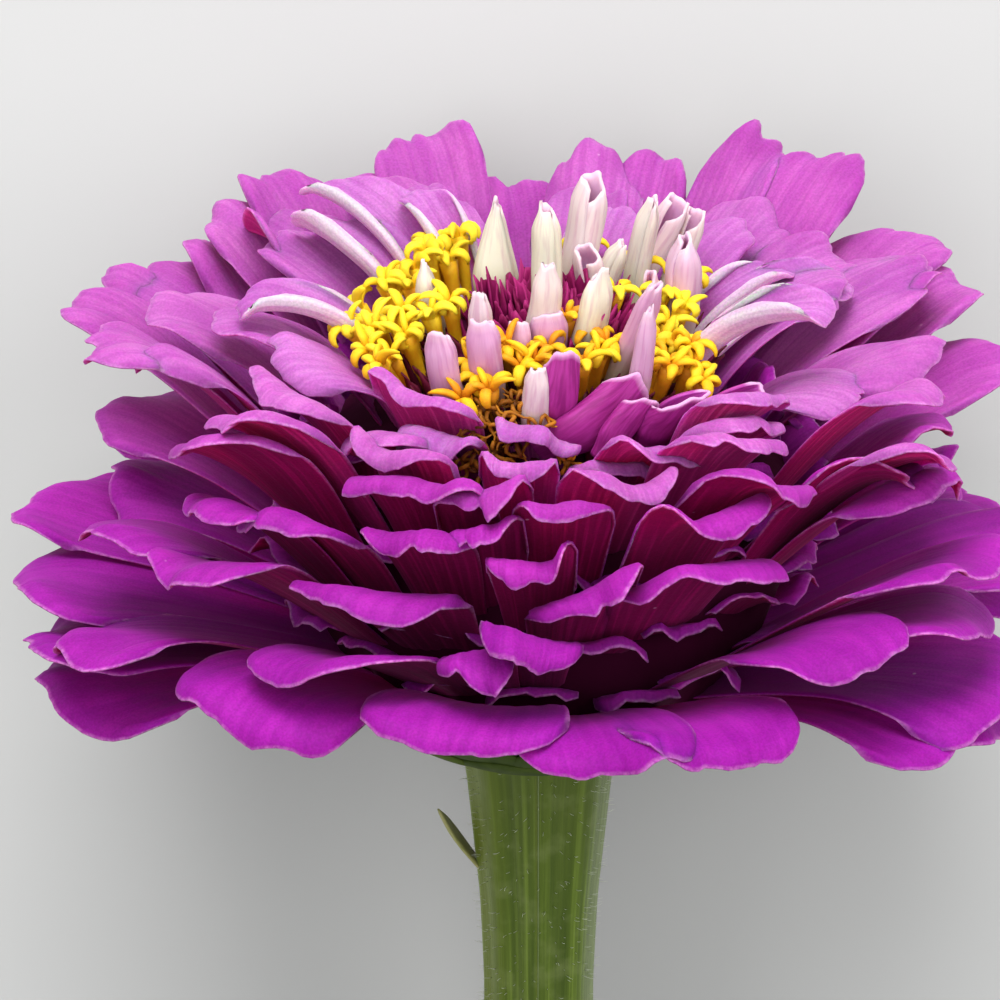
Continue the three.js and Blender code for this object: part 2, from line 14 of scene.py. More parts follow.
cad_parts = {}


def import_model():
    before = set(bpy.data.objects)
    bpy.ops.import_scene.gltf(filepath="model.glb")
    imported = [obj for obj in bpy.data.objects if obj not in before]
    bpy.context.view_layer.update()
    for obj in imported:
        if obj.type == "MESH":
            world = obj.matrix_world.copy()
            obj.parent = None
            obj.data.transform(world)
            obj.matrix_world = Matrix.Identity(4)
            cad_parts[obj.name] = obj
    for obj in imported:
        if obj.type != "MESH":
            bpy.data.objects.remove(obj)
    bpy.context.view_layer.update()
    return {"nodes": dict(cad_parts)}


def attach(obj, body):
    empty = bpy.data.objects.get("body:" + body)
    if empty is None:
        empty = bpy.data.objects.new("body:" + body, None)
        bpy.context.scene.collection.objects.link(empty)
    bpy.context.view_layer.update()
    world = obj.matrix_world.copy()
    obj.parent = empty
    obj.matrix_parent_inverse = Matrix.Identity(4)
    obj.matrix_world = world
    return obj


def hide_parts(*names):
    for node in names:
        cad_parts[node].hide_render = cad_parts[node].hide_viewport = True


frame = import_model()

# ---- driving dimensions
STEM_LENGTH = 120.0
STEM_END_RADIUS = 4.2
STEM_RIDGES = 8
RIDGE_DEPTH = 0.16
REST_TILT = 13.0  # the stem's axis above the table
HEAD_NOD = 5.5  # the bloom's own tilt on its stem
HEAD_LEAN = 1.0
SEED = 11

PETAL_THICKNESS = 0.6  # of the solid model's blades, which rest on the table
FINE_THICKNESS = 0.34
THIN_SIDES = 0.16  # of half the width, over which a sheet thins out to its margin
THIN_TIP = 0.05  # of the length
PETAL_STEPS = (30, 25)
BASE_STEPS = (12, 11)
PETAL_ROOT_DEPTH = 2.0
FLOOR_BEND_RADIUS = 2.0
PRESS = 0.15  # how far a resting petal is pressed flat
CARRYING_COS = -0.9  # petals this far round to the table carry the head
CARRYING_REACH = 0.035
AZIMUTH_SPREAD = 58  # degrees by which a whorl's petals stray, shared among them
SIDE_TWIST = 20.0
START_HANDLE = 0.72  # of a petal's span, the pull of its root on its curve
TIP_HANDLE = 0.15
ROOT_WIDTH = 0.46  # of the petal's width, at its root
FULL_WIDTH_AT = 0.66  # of its length
OUTLINE_POWER = 2.3  # the higher, the squarer a petal's end
NOTCH_WIDTH = 0.12  # of half the width
VEINS = 7  # ribs across a petal
VEIN_HEIGHT = 0.03
CURL_ANGLE = 2.8  # radians that a rolled-in margin turns through
PALE_COS = 0.6  # the innermost whorl's petals are pale outside, but for those in front
PALE_TONE = 2.0
PALE_FROM = 1.5  # a petal's tone above this is pale
MAGENTA_FROM = 1.2  # a young ray's tone above this is magenta

UP = np.array([0, 0, 1.0])

# the head's side that the petals grow from: height, radius
ROOTS = [(5.5, 13.2), (8, 12.6), (16, 10.8), (26, 9)]

# petals, first azimuth, root height, tip radius, tip height, start angle over the chord, slope at
# the tip, width, share of the radius kept in front, rise in front
WHORLS = [
    (13, 0, 6, 40, 6, 10, -22, 15.5, 0.95, 9),
    (13, 15, 6.2, 40.5, 12, 10, -20, 15, 0.94, 8),
    (13, 6, 6.5, 39.5, 18, 10, -16, 14, 0.88, 6),
    (13, 19, 6.9, 35, 22, 10, -20, 12.5, 0.88, 5.5),
    (13, 8, 7.6, 35, 27, 10, -16, 11.5, 0.84, 3.5),
    (13, 22, 8.8, 37, 31, 9, -10, 10.5, 0.8, 0.7),
    (13, 10, 10.8, 33, 32.5, 8, -8, 10, 0.76, 0),
    (12, 24, 13.6, 29.5, 33.5, 20, -4, 9, 0.76, -0.5),
    (11, 9, 17, 25, 34, 26, 0, 8, 0.8, -1),
    (10, 20, 21.5, 20, 34.5, 30, 0, 7, 0.94, -1),
]

# Petals that stand out, by whorl, each in place of the nearest one: azimuth, tip radius, tip height,
# width, start angle over the chord, slope at the tip, twist
SHAPED = [
    [(6, 37, 16.5, 13.5, 10, -34, 0), (21, 38, 16.5, 13.5, 10, -30, 0), (54, 40, 12, 16, 10, -20, 0),
     (60, 40, 14, 16, 8, -12, 0), (285, 40, 11.5, 17, 6, -10, 12), (288, 39, 8, 18, 8, -12, 6),
     (323, 38, 16.5, 15, 10, -30, 0), (350, 36, 17.5, 15, 10, -34, 0)],
    [(38, 37.5, 21.5, 12.5, 10, -26, 0), (56, 38.5, 20.5, 14, 8, -14, -10), (275, 40.5, 14, 17, 4, -6, 8),
     (297, 40.5, 15.8, 12.5, 8, -10, 34), (332, 35.5, 20.3, 14.5, 8, -24, 18),
     (349, 34, 21.7, 6, 10, -44, 28), (358, 34, 23.5, 7.5, 10, -38, -16)],
    [(5, 31.5, 26.5, 9, 8, -34, 30), (24, 31.5, 28, 12.5, 8, -16, 4), (59, 38, 24, 14, 6, -8, -12),
     (93, 40.5, 14.6, 15, 6, -8, -8), (117, 41, 10, 14, 6, -6, 0), (258, 41, 14, 15, 4, -6, 0),
     (290, 36.5, 22.5, 13, 8, -8, 26), (310, 36, 24.8, 12.5, 8, -14, 30),
     (334, 32.5, 25.2, 13.5, 8, -26, 16)],
    [(26, 30, 31, 11, 8, -30, 8), (58, 32, 30, 10.5, 10, -16, -30), (98, 31, 21, 12, 8, -12, -10),
     (253, 35, 15.5, 12, 8, -8, 0), (309, 33, 28.5, 9, 6, -24, 14), (318, 31, 28.2, 10, 8, -28, 10),
     (338, 30.5, 29.8, 8.5, 8, -36, 6), (349, 29, 30, 6, 8, -34, 40), (358, 30.5, 28.4, 7, 8, -44, 20)],
    [(3, 28.5, 32, 8.5, 8, -40, 0), (34, 30, 32.2, 10, 10, -30, -24), (87, 31, 27.5, 11, 8, -12, -16),
     (250, 36, 21, 13, 10, -10, 0), (302, 32, 31.6, 12.5, 10, -18, 38), (336, 27.5, 33.2, 11.5, 8, -20, 0),
     (347, 27.5, 32, 7.5, 8, -38, 26)],
    [(108, 37.5, 27, 11, 8, -4, 0), (118, 37, 30, 10, 8, 0, 0), (128, 37, 32, 10, 8, 2, 0),
     (141, 36.5, 36, 9.5, 8, 4, 0), (152, 36, 36, 6.5, 8, 6, 0), (165, 34, 33.5, 7.5, 8, 6, 0),
     (184, 33, 32, 7.8, 8, 6, 0), (198, 35, 35, 9, 8, 6, 0), (221, 34, 34.5, 9.5, 8, 4, 0),
     (229, 35, 30, 10, 8, 2, 0), (239, 37, 29.5, 10, 8, 0, 0), (245, 39, 29.5, 8, 6, 0, 0),
     (255, 38.5, 30.5, 8, 6, -6, 0)],
    [(12, 25.5, 32, 8.5, 8, -40, 0), (31, 27, 35.5, 8.5, 8, -14, -22), (58, 35, 32.4, 9, 8, -8, -30),
     (64, 32, 35.4, 10, 8, -14, -24), (172, 33, 34.5, 8, 8, 6, 0), (283, 35.5, 36.2, 9, 8, -16, 20),
     (285, 32, 35.6, 9, 8, -12, 20), (310, 31, 34.7, 9, 8, -20, 30), (330, 25.5, 33.5, 8.5, 8, -38, 0)],
    [(40, 24.5, 35.5, 8, 8, -12, -26), (112, 32, 33, 9.5, 20, 0, 0), (131, 29, 32.5, 9, 20, 2, 0),
     (143, 30, 33, 9, 20, 4, 0), (206, 29, 34.5, 8.5, 20, 4, 0), (229, 30, 33.5, 9, 20, 4, 0),
     (304, 26, 35, 8.5, 8, -18, 18), (353, 23, 32.5, 6, 8, -40, 0)],
    [(44, 23.5, 36.6, 8, 6, -10, -30), (294, 22, 35, 8.5, 26, -10, 0), (326, 19, 35.5, 9, 6, -14, 6),
     (14, 18.5, 31, 6, 10, -12, 0)],
    [(332, 20.5, 33.2, 6.5, 12, -20, 0), (357, 18.5, 33.1, 7, 20, -26, -30), (69, 22, 38.5, 7, 30, -4, 0),
     (112, 25, 33, 7, 30, -4, 0), (117, 21, 34, 6, 30, -4, 0), (216, 19, 37.5, 6, 30, 0, 0),
     (222, 26, 37, 7, 30, 0, 0), (234, 23.5, 35.5, 7.5, 30, -4, 0), (273, 23.5, 36, 6, 30, -16, 0)],
]

# What only the fine petal has, by whorl and azimuth: how far its margins turn up, how blunt its tip
# is and, where they are rolled in, how far its left and its right margin are
FINE = {
    (6, 12): (0.5, 0.35), (4, 3): (-0.1, 0.75), (4, 336): (-0.5, 0.3), (3, 26): (0.2, 0.55),
    (2, 5): (-0.1, 0.5), (9, 357): (-0.2, 0.6), (2, 24): (-0.45, 0.4), (4, 347): (0.15, 0.4),
    (3, 358): (0.5, 0.5), (2, 334): (0, 0.5), (1, 332): (0, 0.5), (6, 330): (0.3, 0.5),
    (7, 353): (0.3, 0.4), (4, 34): (0.1, 0.5), (8, 326): (0.1, 0.4), (9, 222): (0.3, 0.5, 0, 0.8),
    (9, 216): (0.4, 0.6, 0.9, 0.9), (9, 234): (0.3, 0.5, 0.1, 0.85), (9, 273): (0.3, 0.5, 0.4, 0.9),
    (9, 117): (0.3, 0.5, 0.7, 0.9), (9, 69): (0.3, 0.5, 0.95, 0.5), (6, 58): (0, 0.4), (3, 58): (0.1, 0.4),
    (4, 302): (-0.1, 0.35), (6, 310): (0, 0.4), (9, 112): (0.5, 0.4, 0.1, 0.1), (7, 206): (0.3, 0.4),
    (7, 229): (0.4, 0.4),
}


# ---- small tools
def chance(one, trait):
    """A repeatable draw from 0 to 1, for one trait of one petal, floret or hair."""
    h = ((one + 1) * 0x9E3779B1 ^ (trait + 1) * 0x85EBCA6B ^ SEED) & 0xFFFFFFFF
    h = (h ^ h >> 15) * 0x2C1B3C6D & 0xFFFFFFFF
    h = (h ^ h >> 12) * 0x297A2D39 & 0xFFFFFFFF
    return (h ^ h >> 15) / 2**32


def vary(one, trait, spread):
    """A draw from minus the spread to the spread."""
    return (2 * chance(one, trait) - 1) * spread


def smooth(start, end, x):
    """A step from 0 to 1 with soft ends."""
    t = np.clip((x - start) / (end - start), 0, 1)
    return t * t * (3 - 2 * t)


def rough(one, trait, x):
    """A smooth irregular wave, about 1 high and 1 long."""
    total = 0
    for k, pitch in enumerate((1.9, 3.3, 5.3)):
        total += np.sin(pitch * x + 2 * pi * chance(one, trait + k)) / (1 + 0.4 * k)
    return 0.6 * total


def rotation(axis, degrees):
    """A rotation matrix about axis 0, 1 or 2."""
    a, b = (axis + 1) % 3, (axis + 2) % 3
    matrix = np.eye(3)
    matrix[a, a] = matrix[b, b] = cos(radians(degrees))
    matrix[b, a] = sin(radians(degrees))
    matrix[a, b] = -matrix[b, a]
    return matrix


def unit(vectors):
    return vectors / np.linalg.norm(vectors, axis=-1, keepdims=True)


HEAD = rotation(1, HEAD_LEAN) @ rotation(0, HEAD_NOD)
LAID = rotation(2, 180) @ rotation(0, REST_TILT - 90)


def flower_place():
    """Where the top of the stem lies, read from the cut end of the solid stem, in mm."""
    stem = frame["nodes"]["stem"]
    corners = np.array([stem.matrix_world @ vertex.co for vertex in stem.data.vertices]) * 1000
    axis = LAID[:, 2]
    along = corners @ axis
    end = corners[along < along.min() + 0.05]
    return (end.min(0) + end.max(0)) / 2 + STEM_LENGTH * axis


SHIFT = flower_place()


def world(points):
    """From the flower's frame in mm to the part's frame in metres."""
    return (points @ LAID.T + SHIFT) / 1000


def bend_on_table(points, direction):
    """A petal that would pass through the table bends over on it and lies along it."""
    low = PETAL_THICKNESS / 2 - PRESS
    laid = points @ LAID.T + SHIFT
    past = np.maximum(low + FLOOR_BEND_RADIUS - laid[..., 2], 0)
    angle = np.minimum(past / FLOOR_BEND_RADIUS, pi / 2)
    flat = np.maximum(past - FLOOR_BEND_RADIUS * pi / 2, 0)
    height = low + FLOOR_BEND_RADIUS * (1 - np.sin(angle))
    laid[..., 2] = np.where(past > 0, height, laid[..., 2])
    laid[..., 1] += direction * (FLOOR_BEND_RADIUS * (1 - np.cos(angle)) + flat)
    return (laid - SHIFT) @ LAID


def ring_faces(rows, sides):
    """Quads between rings of points, and a face over each end."""
    faces = []
    for j in range(rows - 1):
        for k in range(sides):
            n = (k + 1) % sides
            faces.append((j * sides + k, j * sides + n, (j + 1) * sides + n, (j + 1) * sides + k))
    faces.append(tuple(range(sides - 1, -1, -1)))
    faces.append(tuple((rows - 1) * sides + k for k in range(sides)))
    return faces


def new_object(name, data):
    made = bpy.data.objects.new(name, data)
    bpy.context.scene.collection.objects.link(made)
    return made


class Piece:
    """Gathers closed shells into one mesh, with what its material reads at each vertex."""

    def __init__(self, name):
        self.name = name
        self.points, self.faces, self.blade, self.tone = [], [], [], []
        self.count = 0

    def add(self, points, faces, blade, tone):
        """Adds a shell; blade holds (u, v, side) at each point, tone is the shell's own shade."""
        points = np.reshape(points, (-1, 3))
        self.points.append(points)
        self.faces += [tuple(i + self.count for i in face) for face in faces]
        self.blade.append(np.reshape(blade, (-1, 3)))
        self.tone.append(np.full(len(points), tone))
        self.count += len(points)

    def sheet(self, surface, steps, thickness, tone, rim=0.35):
        """A thin closed shell about surface(u, v), thinner at its margins."""
        rows, columns = steps
        u, v = np.meshgrid(np.linspace(0, 1, rows), np.linspace(-1, 1, columns), indexing="ij")
        small = 2e-3  # the step that the surface's slope is measured over
        middle = surface(u, v)
        along = surface(np.minimum(u + small, 1), v) - surface(np.maximum(u - small, 0), v)
        across = surface(u, np.minimum(v + small, 1)) - surface(u, np.maximum(v - small, -1))
        normal = np.cross(along, across)
        normal /= np.linalg.norm(normal, axis=-1, keepdims=True) + 1e-12
        edge = np.minimum(np.minimum((1 - np.abs(v)) / THIN_SIDES, (1 - u) / THIN_TIP), 1)
        half = 0.5 * thickness * (rim + (1 - rim) * edge)[..., None]
        m, n = rows - 1, columns - 1

        def at(i, j, k):
            return (k * rows + i) * columns + j

        quads = []
        for i in range(m):
            for j in range(n):
                quads.append((at(i, j, 0), at(i, j + 1, 0), at(i + 1, j + 1, 0), at(i + 1, j, 0)))
                quads.append((at(i, j, 1), at(i + 1, j, 1), at(i + 1, j + 1, 1), at(i, j + 1, 1)))
            quads.append((at(i, 0, 0), at(i + 1, 0, 0), at(i + 1, 0, 1), at(i, 0, 1)))
            quads.append((at(i, n, 0), at(i, n, 1), at(i + 1, n, 1), at(i + 1, n, 0)))
        for j in range(n):
            quads.append((at(0, j, 0), at(0, j, 1), at(0, j + 1, 1), at(0, j + 1, 0)))
            quads.append((at(m, j, 0), at(m, j + 1, 0), at(m, j + 1, 1), at(m, j, 1)))
        points = np.stack([middle - normal * half, middle + normal * half])
        blade = np.stack([np.stack([u, v, np.full_like(u, under)], -1) for under in (1, 0)])
        self.add(points, quads, blade, tone)

    def tube(self, spine, radii, sides, tone, squash=1.0):
        """A closed round body along a line of points."""
        spine = np.array(spine, float)
        rows = len(spine)
        along = unit(np.gradient(spine, axis=0))
        ref = UP if abs(along[0, 2]) < 0.9 else np.array([1.0, 0, 0])
        side = np.cross(ref, along[0])
        rings, blade = [], []
        for i in range(rows):
            side = unit(side - along[i] * (side @ along[i]))
            other = np.cross(along[i], side)
            for k in range(sides):
                a = 2 * pi * k / sides
                ring = side * cos(a) + other * sin(a) * squash
                rings.append(spine[i] + radii[i] * ring)
                blade.append((i / (rows - 1), k / sides, 0))
        self.add(rings, ring_faces(rows, sides), blade, tone)

    def build(self, material, *nodes, slot=None):
        """Makes the mesh, keeps it above the table, and hides the nodes of the solid that it replaces."""
        mesh = bpy.data.meshes.new(self.name)
        points = world(np.concatenate(self.points))
        points[:, 2] = np.maximum(points[:, 2], 0)
        mesh.from_pydata(points.tolist(), [], self.faces)
        mesh.shade_smooth()
        blade = mesh.attributes.new("blade", "FLOAT_VECTOR", "POINT")
        blade.data.foreach_set("vector", np.concatenate(self.blade).astype(np.float32).ravel())
        tone = mesh.attributes.new("tone", "FLOAT", "POINT")
        tone.data.foreach_set("value", np.concatenate(self.tone).astype(np.float32))
        mesh.materials.append(material)
        piece = new_object(self.name, mesh)
        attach(piece, "root")
        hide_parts(*nodes)


def ray(azimuth):
    """Outward and sideways directions at an azimuth round the flower's axis."""
    a = radians(azimuth)
    return np.array([sin(a), -cos(a), 0]), np.array([cos(a), sin(a), 0])


# ---- ray petals
def side_twist(azimuth):
    """Petals in front and at the sides turn their upper face a little to the back."""
    a = radians(azimuth)
    return -SIDE_TWIST * sin(a) * max(0.0, cos(a) + 0.4)


# traits that differ from petal to petal: the number of the draw, mean, spread
TRAITS = {
    "blunt": (1, 0.36, 0.1), "margin": (2, -0.2, 0.08), "ruffle": (3, 0.45, 0.3), "waves": (4, 4.5, 1.5),
    "sway": (7, 0, 1.3), "cup": (54, 0, 0.24), "crease": (56, 0, 1.3), "crease_at": (57, 0, 0.5),
    "tilt": (58, 0, 0.3), "skew": (64, 0, 0.11),
}


def petal_traits(number, azimuth, row):
    """A petal's measures: its whorl's, each a little changed by a draw of its own."""
    _, _, root, tip_radius, tip_height, arch, droop, width, front_share, front_rise = row
    facing = cos(radians(azimuth))
    front = max(0.0, facing)
    reach = CARRYING_REACH if facing < CARRYING_COS else vary(number, 11, 0.045)
    root_height = root + vary(number, 12, 0.3)
    heights, radii = zip(*ROOTS)
    return {
        "number": number,
        "azimuth": azimuth,
        "root": (np.interp(root_height, heights, radii) - PETAL_ROOT_DEPTH, root_height),
        "tip": (
            tip_radius * (1 + reach) * (1 + (front_share - 1) * front),
            tip_height + front_rise * front + vary(number, 13, 0.6),
        ),
        "arch": arch + vary(number, 14, 2),
        "droop": droop + vary(number, 15, 7),
        "width": width * (1 + vary(number, 16, 0.14)),
        "root_cup": 0.12,
        "phase": 2 * pi * chance(number, 5),
        "twist": vary(number, 6, 4) + side_twist(azimuth),
        "bend": 1 if tip_height < 15 else -1,
        "notches": [(vary(number, 50 + k, 0.7), 0.06 * chance(number, 60 + k) ** 2) for k in range(3)],
        "frill": 0.08 + 0.16 * chance(number, 53),
        "roll": 0.2 + 0.4 * chance(number, 55),
        "fold": 0.55 * max(0.0, chance(number, 59) - 0.55),
        "fold_side": 1 if chance(number, 63) < 0.5 else -1,
        "curl": (0, 0),
        **{name: mean + vary(number, draw, spread) for name, (draw, mean, spread) in TRAITS.items()},
    }


def petal_surface(petal):
    """The petal's middle surface: a curve from root to tip, its outline, and what bends it."""
    number = petal["number"]
    root, tip = np.array(petal["root"]), np.array(petal["tip"])
    chord = tip - root
    span = np.linalg.norm(chord)
    start = atan2(chord[1], chord[0]) + radians(petal["arch"])
    droop = radians(petal["droop"])
    leave = root + START_HANDLE * span * np.array([cos(start), sin(start)])
    arrive = tip - TIP_HANDLE * span * np.array([cos(droop), sin(droop)])
    out, side = ray(petal["azimuth"])

    def surface(u, v):
        outline = 1 - petal["blunt"] * (1 - np.sqrt(np.clip(1 - np.abs(v) ** OUTLINE_POWER, 0, 1)))
        for place, depth in petal["notches"]:
            outline -= depth * np.exp(-(((v - place) / NOTCH_WIDTH) ** 2))
        outline += petal["skew"] * v - 0.022 * rough(number, 200, 2.4 * v)
        outline -= 0.008 * rough(number, 205, 7 * v)
        t = u * outline
        s = (1 - t)[..., None]
        w = t[..., None]
        centre = s**3 * root + 3 * s * s * w * leave + 3 * s * w * w * arrive + w**3 * tip
        along = unit(s * s * (leave - root) + 2 * s * w * (arrive - leave) + w * w * (tip - arrive))
        half = 0.5 * petal["width"] * (ROOT_WIDTH + (1 - ROOT_WIDTH) * smooth(0, FULL_WIDTH_AT, t))
        left, right = petal["curl"]
        start_roll = 1 - 0.75 * np.where(v < 0, left, right)
        rolled = np.maximum(np.abs(v) - start_roll, 0)
        tight = np.maximum(1 - start_roll, 0.05) / (CURL_ANGLE * (1 - 0.45 * smooth(0.8, 1, t)))
        flat = np.minimum(np.abs(v), start_roll) + tight * np.sin(rolled / tight)
        across = half * np.sign(v) * flat + petal["sway"] * t * t
        cup = petal["root_cup"] + (petal["margin"] + petal["cup"] - petal["root_cup"]) * smooth(0.35, 1, t)
        lift = cup * half * flat * flat + half * tight * (1 - np.cos(rolled / tight))
        wave = np.sin(petal["waves"] * v + petal["phase"]) * (0.35 + 0.65 * np.abs(v))
        lift += petal["ruffle"] * smooth(0.5, 1, t) * wave
        near_edge = smooth(0.7, 1, np.maximum(u, np.abs(v) * smooth(0.3, 0.7, t)))
        lift += petal["frill"] * near_edge * rough(number, 210, 2.2 * v + 2 * t)
        lift -= petal["roll"] * smooth(0.86, 1, u) ** 2
        crease = np.exp(-(((v - petal["crease_at"]) / 0.3) ** 2)) * smooth(0.6, 1, u)
        lift += petal["crease"] * crease + petal["tilt"] * half * v * smooth(0.55, 1, t)
        far = smooth(0.25, 1, v * petal["fold_side"]) * smooth(0.55, 0.95, t)
        lift += petal["fold"] * petal["width"] * far
        veins = np.cos(pi * VEINS * v) * smooth(0.05, 0.3, t) * (1 - 0.6 * smooth(0.6, 1, u))
        lift += VEIN_HEIGHT * veins
        turn = np.radians(petal["twist"]) * t
        across, lift = (
            across * np.cos(turn) - lift * np.sin(turn), across * np.sin(turn) + lift * np.cos(turn))
        radius = centre[..., 0] - along[..., 1] * lift
        height = centre[..., 1] + along[..., 0] * lift
        points = radius[..., None] * out + across[..., None] * side + height[..., None] * UP
        return bend_on_table(points @ HEAD.T, petal["bend"]) @ HEAD

    return surface


def shaped_petals(whorl, slots):
    """Which slot of the whorl each of its shaped petals takes."""
    taken = {}
    for row in SHAPED[whorl]:
        free = [i for i in range(len(slots)) if i not in taken]
        taken[min(free, key=lambda i: abs((slots[i] - row[0] + 180) % 360 - 180))] = row
    return taken


def all_petals():
    """Every petal with its whorl's number, from the skirt up."""
    petals = []
    for whorl, row in enumerate(WHORLS):
        count, first = row[:2]
        slots = [first + 360 / count * i for i in range(count)]
        taken = shaped_petals(whorl, slots)
        for i, azimuth in enumerate(slots):
            number = len(petals)
            if cos(radians(azimuth)) >= CARRYING_COS:
                azimuth += vary(number, 10, AZIMUTH_SPREAD / count)
            if i in taken:
                azimuth, radius, height, width, arch, droop, twist = taken[i]
            petal = petal_traits(number, azimuth, row)
            if i in taken:
                petal.update(tip=(radius, height), width=width, arch=arch, droop=droop, twist=twist)
                if (whorl, azimuth) in FINE:
                    margin, blunt, *curl = FINE[whorl, azimuth]
                    petal.update(margin=margin, blunt=blunt, cup=0, curl=curl or (0, 0))
            petal["pale"] = whorl == len(WHORLS) - 1 and cos(radians(azimuth)) < PALE_COS
            if petal["pale"]:
                petal.update(root_cup=0.5, ruffle=0.2, crease=0.2, fold=0)
            petals.append((whorl, petal))
    return petals


def headed(surface):
    """The surface, tilted with the head."""
    return lambda u, v: surface(u, v) @ HEAD.T


def ray_petals(material):
    groups = {"skirt_petals": range(0, 3), "middle_petals": range(3, 6), "crown_petals": range(6, 10)}
    every = all_petals()
    for name, whorls in groups.items():
        piece = Piece(name)
        for whorl, petal in every:
            if whorl in whorls:
                tone = PALE_TONE if petal["pale"] else whorl / 9 + vary(petal["number"], 70, 0.05)
                piece.sheet(headed(petal_surface(petal)), PETAL_STEPS, FINE_THICKNESS, tone)
        piece.build(material, "ray_petals")


def lathe(profile, sides, wobble=None):
    """A closed body turned round the head's axis; profile is a list of (radius, height)."""
    rings, blade = [], []
    for j, (radius, height) in enumerate(profile):
        for k in range(sides):
            a = 2 * pi * k / sides
            r = radius + (wobble(a, height) if wobble else 0)
            rings.append((r * sin(a), -r * cos(a), height))
            blade.append((j / (len(profile) - 1), k / sides, 0))
    return np.array(rings) @ HEAD.T, ring_faces(len(profile), sides), blade


# the cone under the petals and the disc, its near-black maroon painted shade for the depth among them:
# radius, height
CONE = [
    (12, 4.9), (14, 5.2), (15, 7), (17, 11), (19, 16), (19, 21), (15.5, 25.5), (11.5, 28), (9.5, 30.5),
    (7.5, 32.5), (4, 33.6), (1, 34),
]
# rings of short broad petal bases on the cone: count, root height, root radius, tip radius, tip height
BASES = [(17, 6.5, 12, 20, 14), (18, 9.5, 13.5, 21, 19), (17, 13, 14, 20.5, 24), (16, 18, 14, 18.5, 28.5)]
BASE_WIDTH = 6.6
FIRST_BASE = 300  # the bases' numbers follow the petals', 20 to a ring


def cone(cone_material, base_material):
    piece = Piece("receptacle")
    piece.add(*lathe(CONE, 52, lambda a, height: 0.4 * cos(13 * a + 0.3 * height)), 0)
    piece.build(cone_material, "ray_petals")
    piece = Piece("petal_bases")
    for ring, (count, root_height, root_radius, tip_radius, tip_height) in enumerate(BASES):
        for i in range(count):
            number = FIRST_BASE + 20 * ring + i
            row = (0, 0, root_height, tip_radius, tip_height, 4, 20, BASE_WIDTH, 1, 0)
            petal = petal_traits(number, 360 / count * (i + 0.5 * ring) + vary(number, 71, 4), row)
            petal.update(root=(root_radius, root_height), bend=1, margin=-0.5)
            tone = 0.3 + vary(number, 70, 0.1)
            piece.sheet(headed(petal_surface(petal)), BASE_STEPS, FINE_THICKNESS, tone)
    piece.build(base_material, "ray_petals")


# ---- the disc
DISC_TOP = 36.3
DISC_FALL = 0.010  # mm of drop per square mm of radius

# star florets in bloom: azimuth, radius of the mouth
OPEN_FLORETS = [
    (251, 13), (250, 11), (260, 14.5), (272, 13), (278, 15), (284, 13.5), (281, 9), (277, 7.5), (278, 11),
    (286, 11.5), (293, 14.5), (300, 13.5), (293, 11.5), (303, 15), (333, 14), (333, 11.5), (331, 9),
    (340, 13), (325, 10), (338, 8.5), (353, 9), (359, 7), (348, 9.5), (16, 4.5), (33, 5.5), (34, 7.5),
    (25, 8.5), (14, 10), (99, 8.5), (80, 9), (89, 10), (60, 9.5), (65, 10.5), (48, 11.5), (60, 12),
    (53, 14), (45, 12.5), (54, 13), (143, 11.5), (168, 13), (101, 5), (235, 14), (120, 12.5),
]
# those that stand higher, at the back: azimuth, radius, how much higher
HIGH_FLORETS = [(215, 12, 1.8), (222, 13, 1.2), (229, 12.2, 1.5), (224, 11, 0.3), (236, 12, 0.6)]
# withered ones that hang in the hollow in front: azimuth, radius, how far they have sunk
SPENT_FLORETS = [
    (334, 13, 1), (339, 13.5, 1.2), (338, 15, 1.8), (342, 13, 1.5), (348, 12.5, 1.2), (354, 12.5, 1),
    (347, 14.5, 1.8), (340, 15.5, 3), (344, 15, 3.6), (350, 14.5, 2.6), (342, 16, 4.4), (348, 15.5, 4.4),
    (335, 16, 4.6), (8, 16, 4.4), (5, 15.5, 3.6), (357, 14, 2),
]
# the radii of a floret's tube, and its lobes' length, curl, sideways swing, thickness and flatness
OPEN = {"tube": (0.4, 0.45, 0.6, 0.8), "long": 2.5, "curl": 1.35, "swing": 0.5, "thick": 0.36, "flat": 0.6}
SPENT = {"tube": (0.25, 0.25, 0.25, 0.3), "long": 2.7, "curl": 3.0, "swing": 2.4, "thick": 0.13, "flat": 0.9}
FLORET_ROOT = 29  # height
LOBES = 5
LOBE_STEPS = 8
LOBE_WIDTHS = (0.8, 0.95, 1.1, 1.25, 1.3, 1.2, 1.0, 0.75, 0.4)
ROUND = 8  # sides of a tube


def disc_height(radius):
    return DISC_TOP - DISC_FALL * radius**2


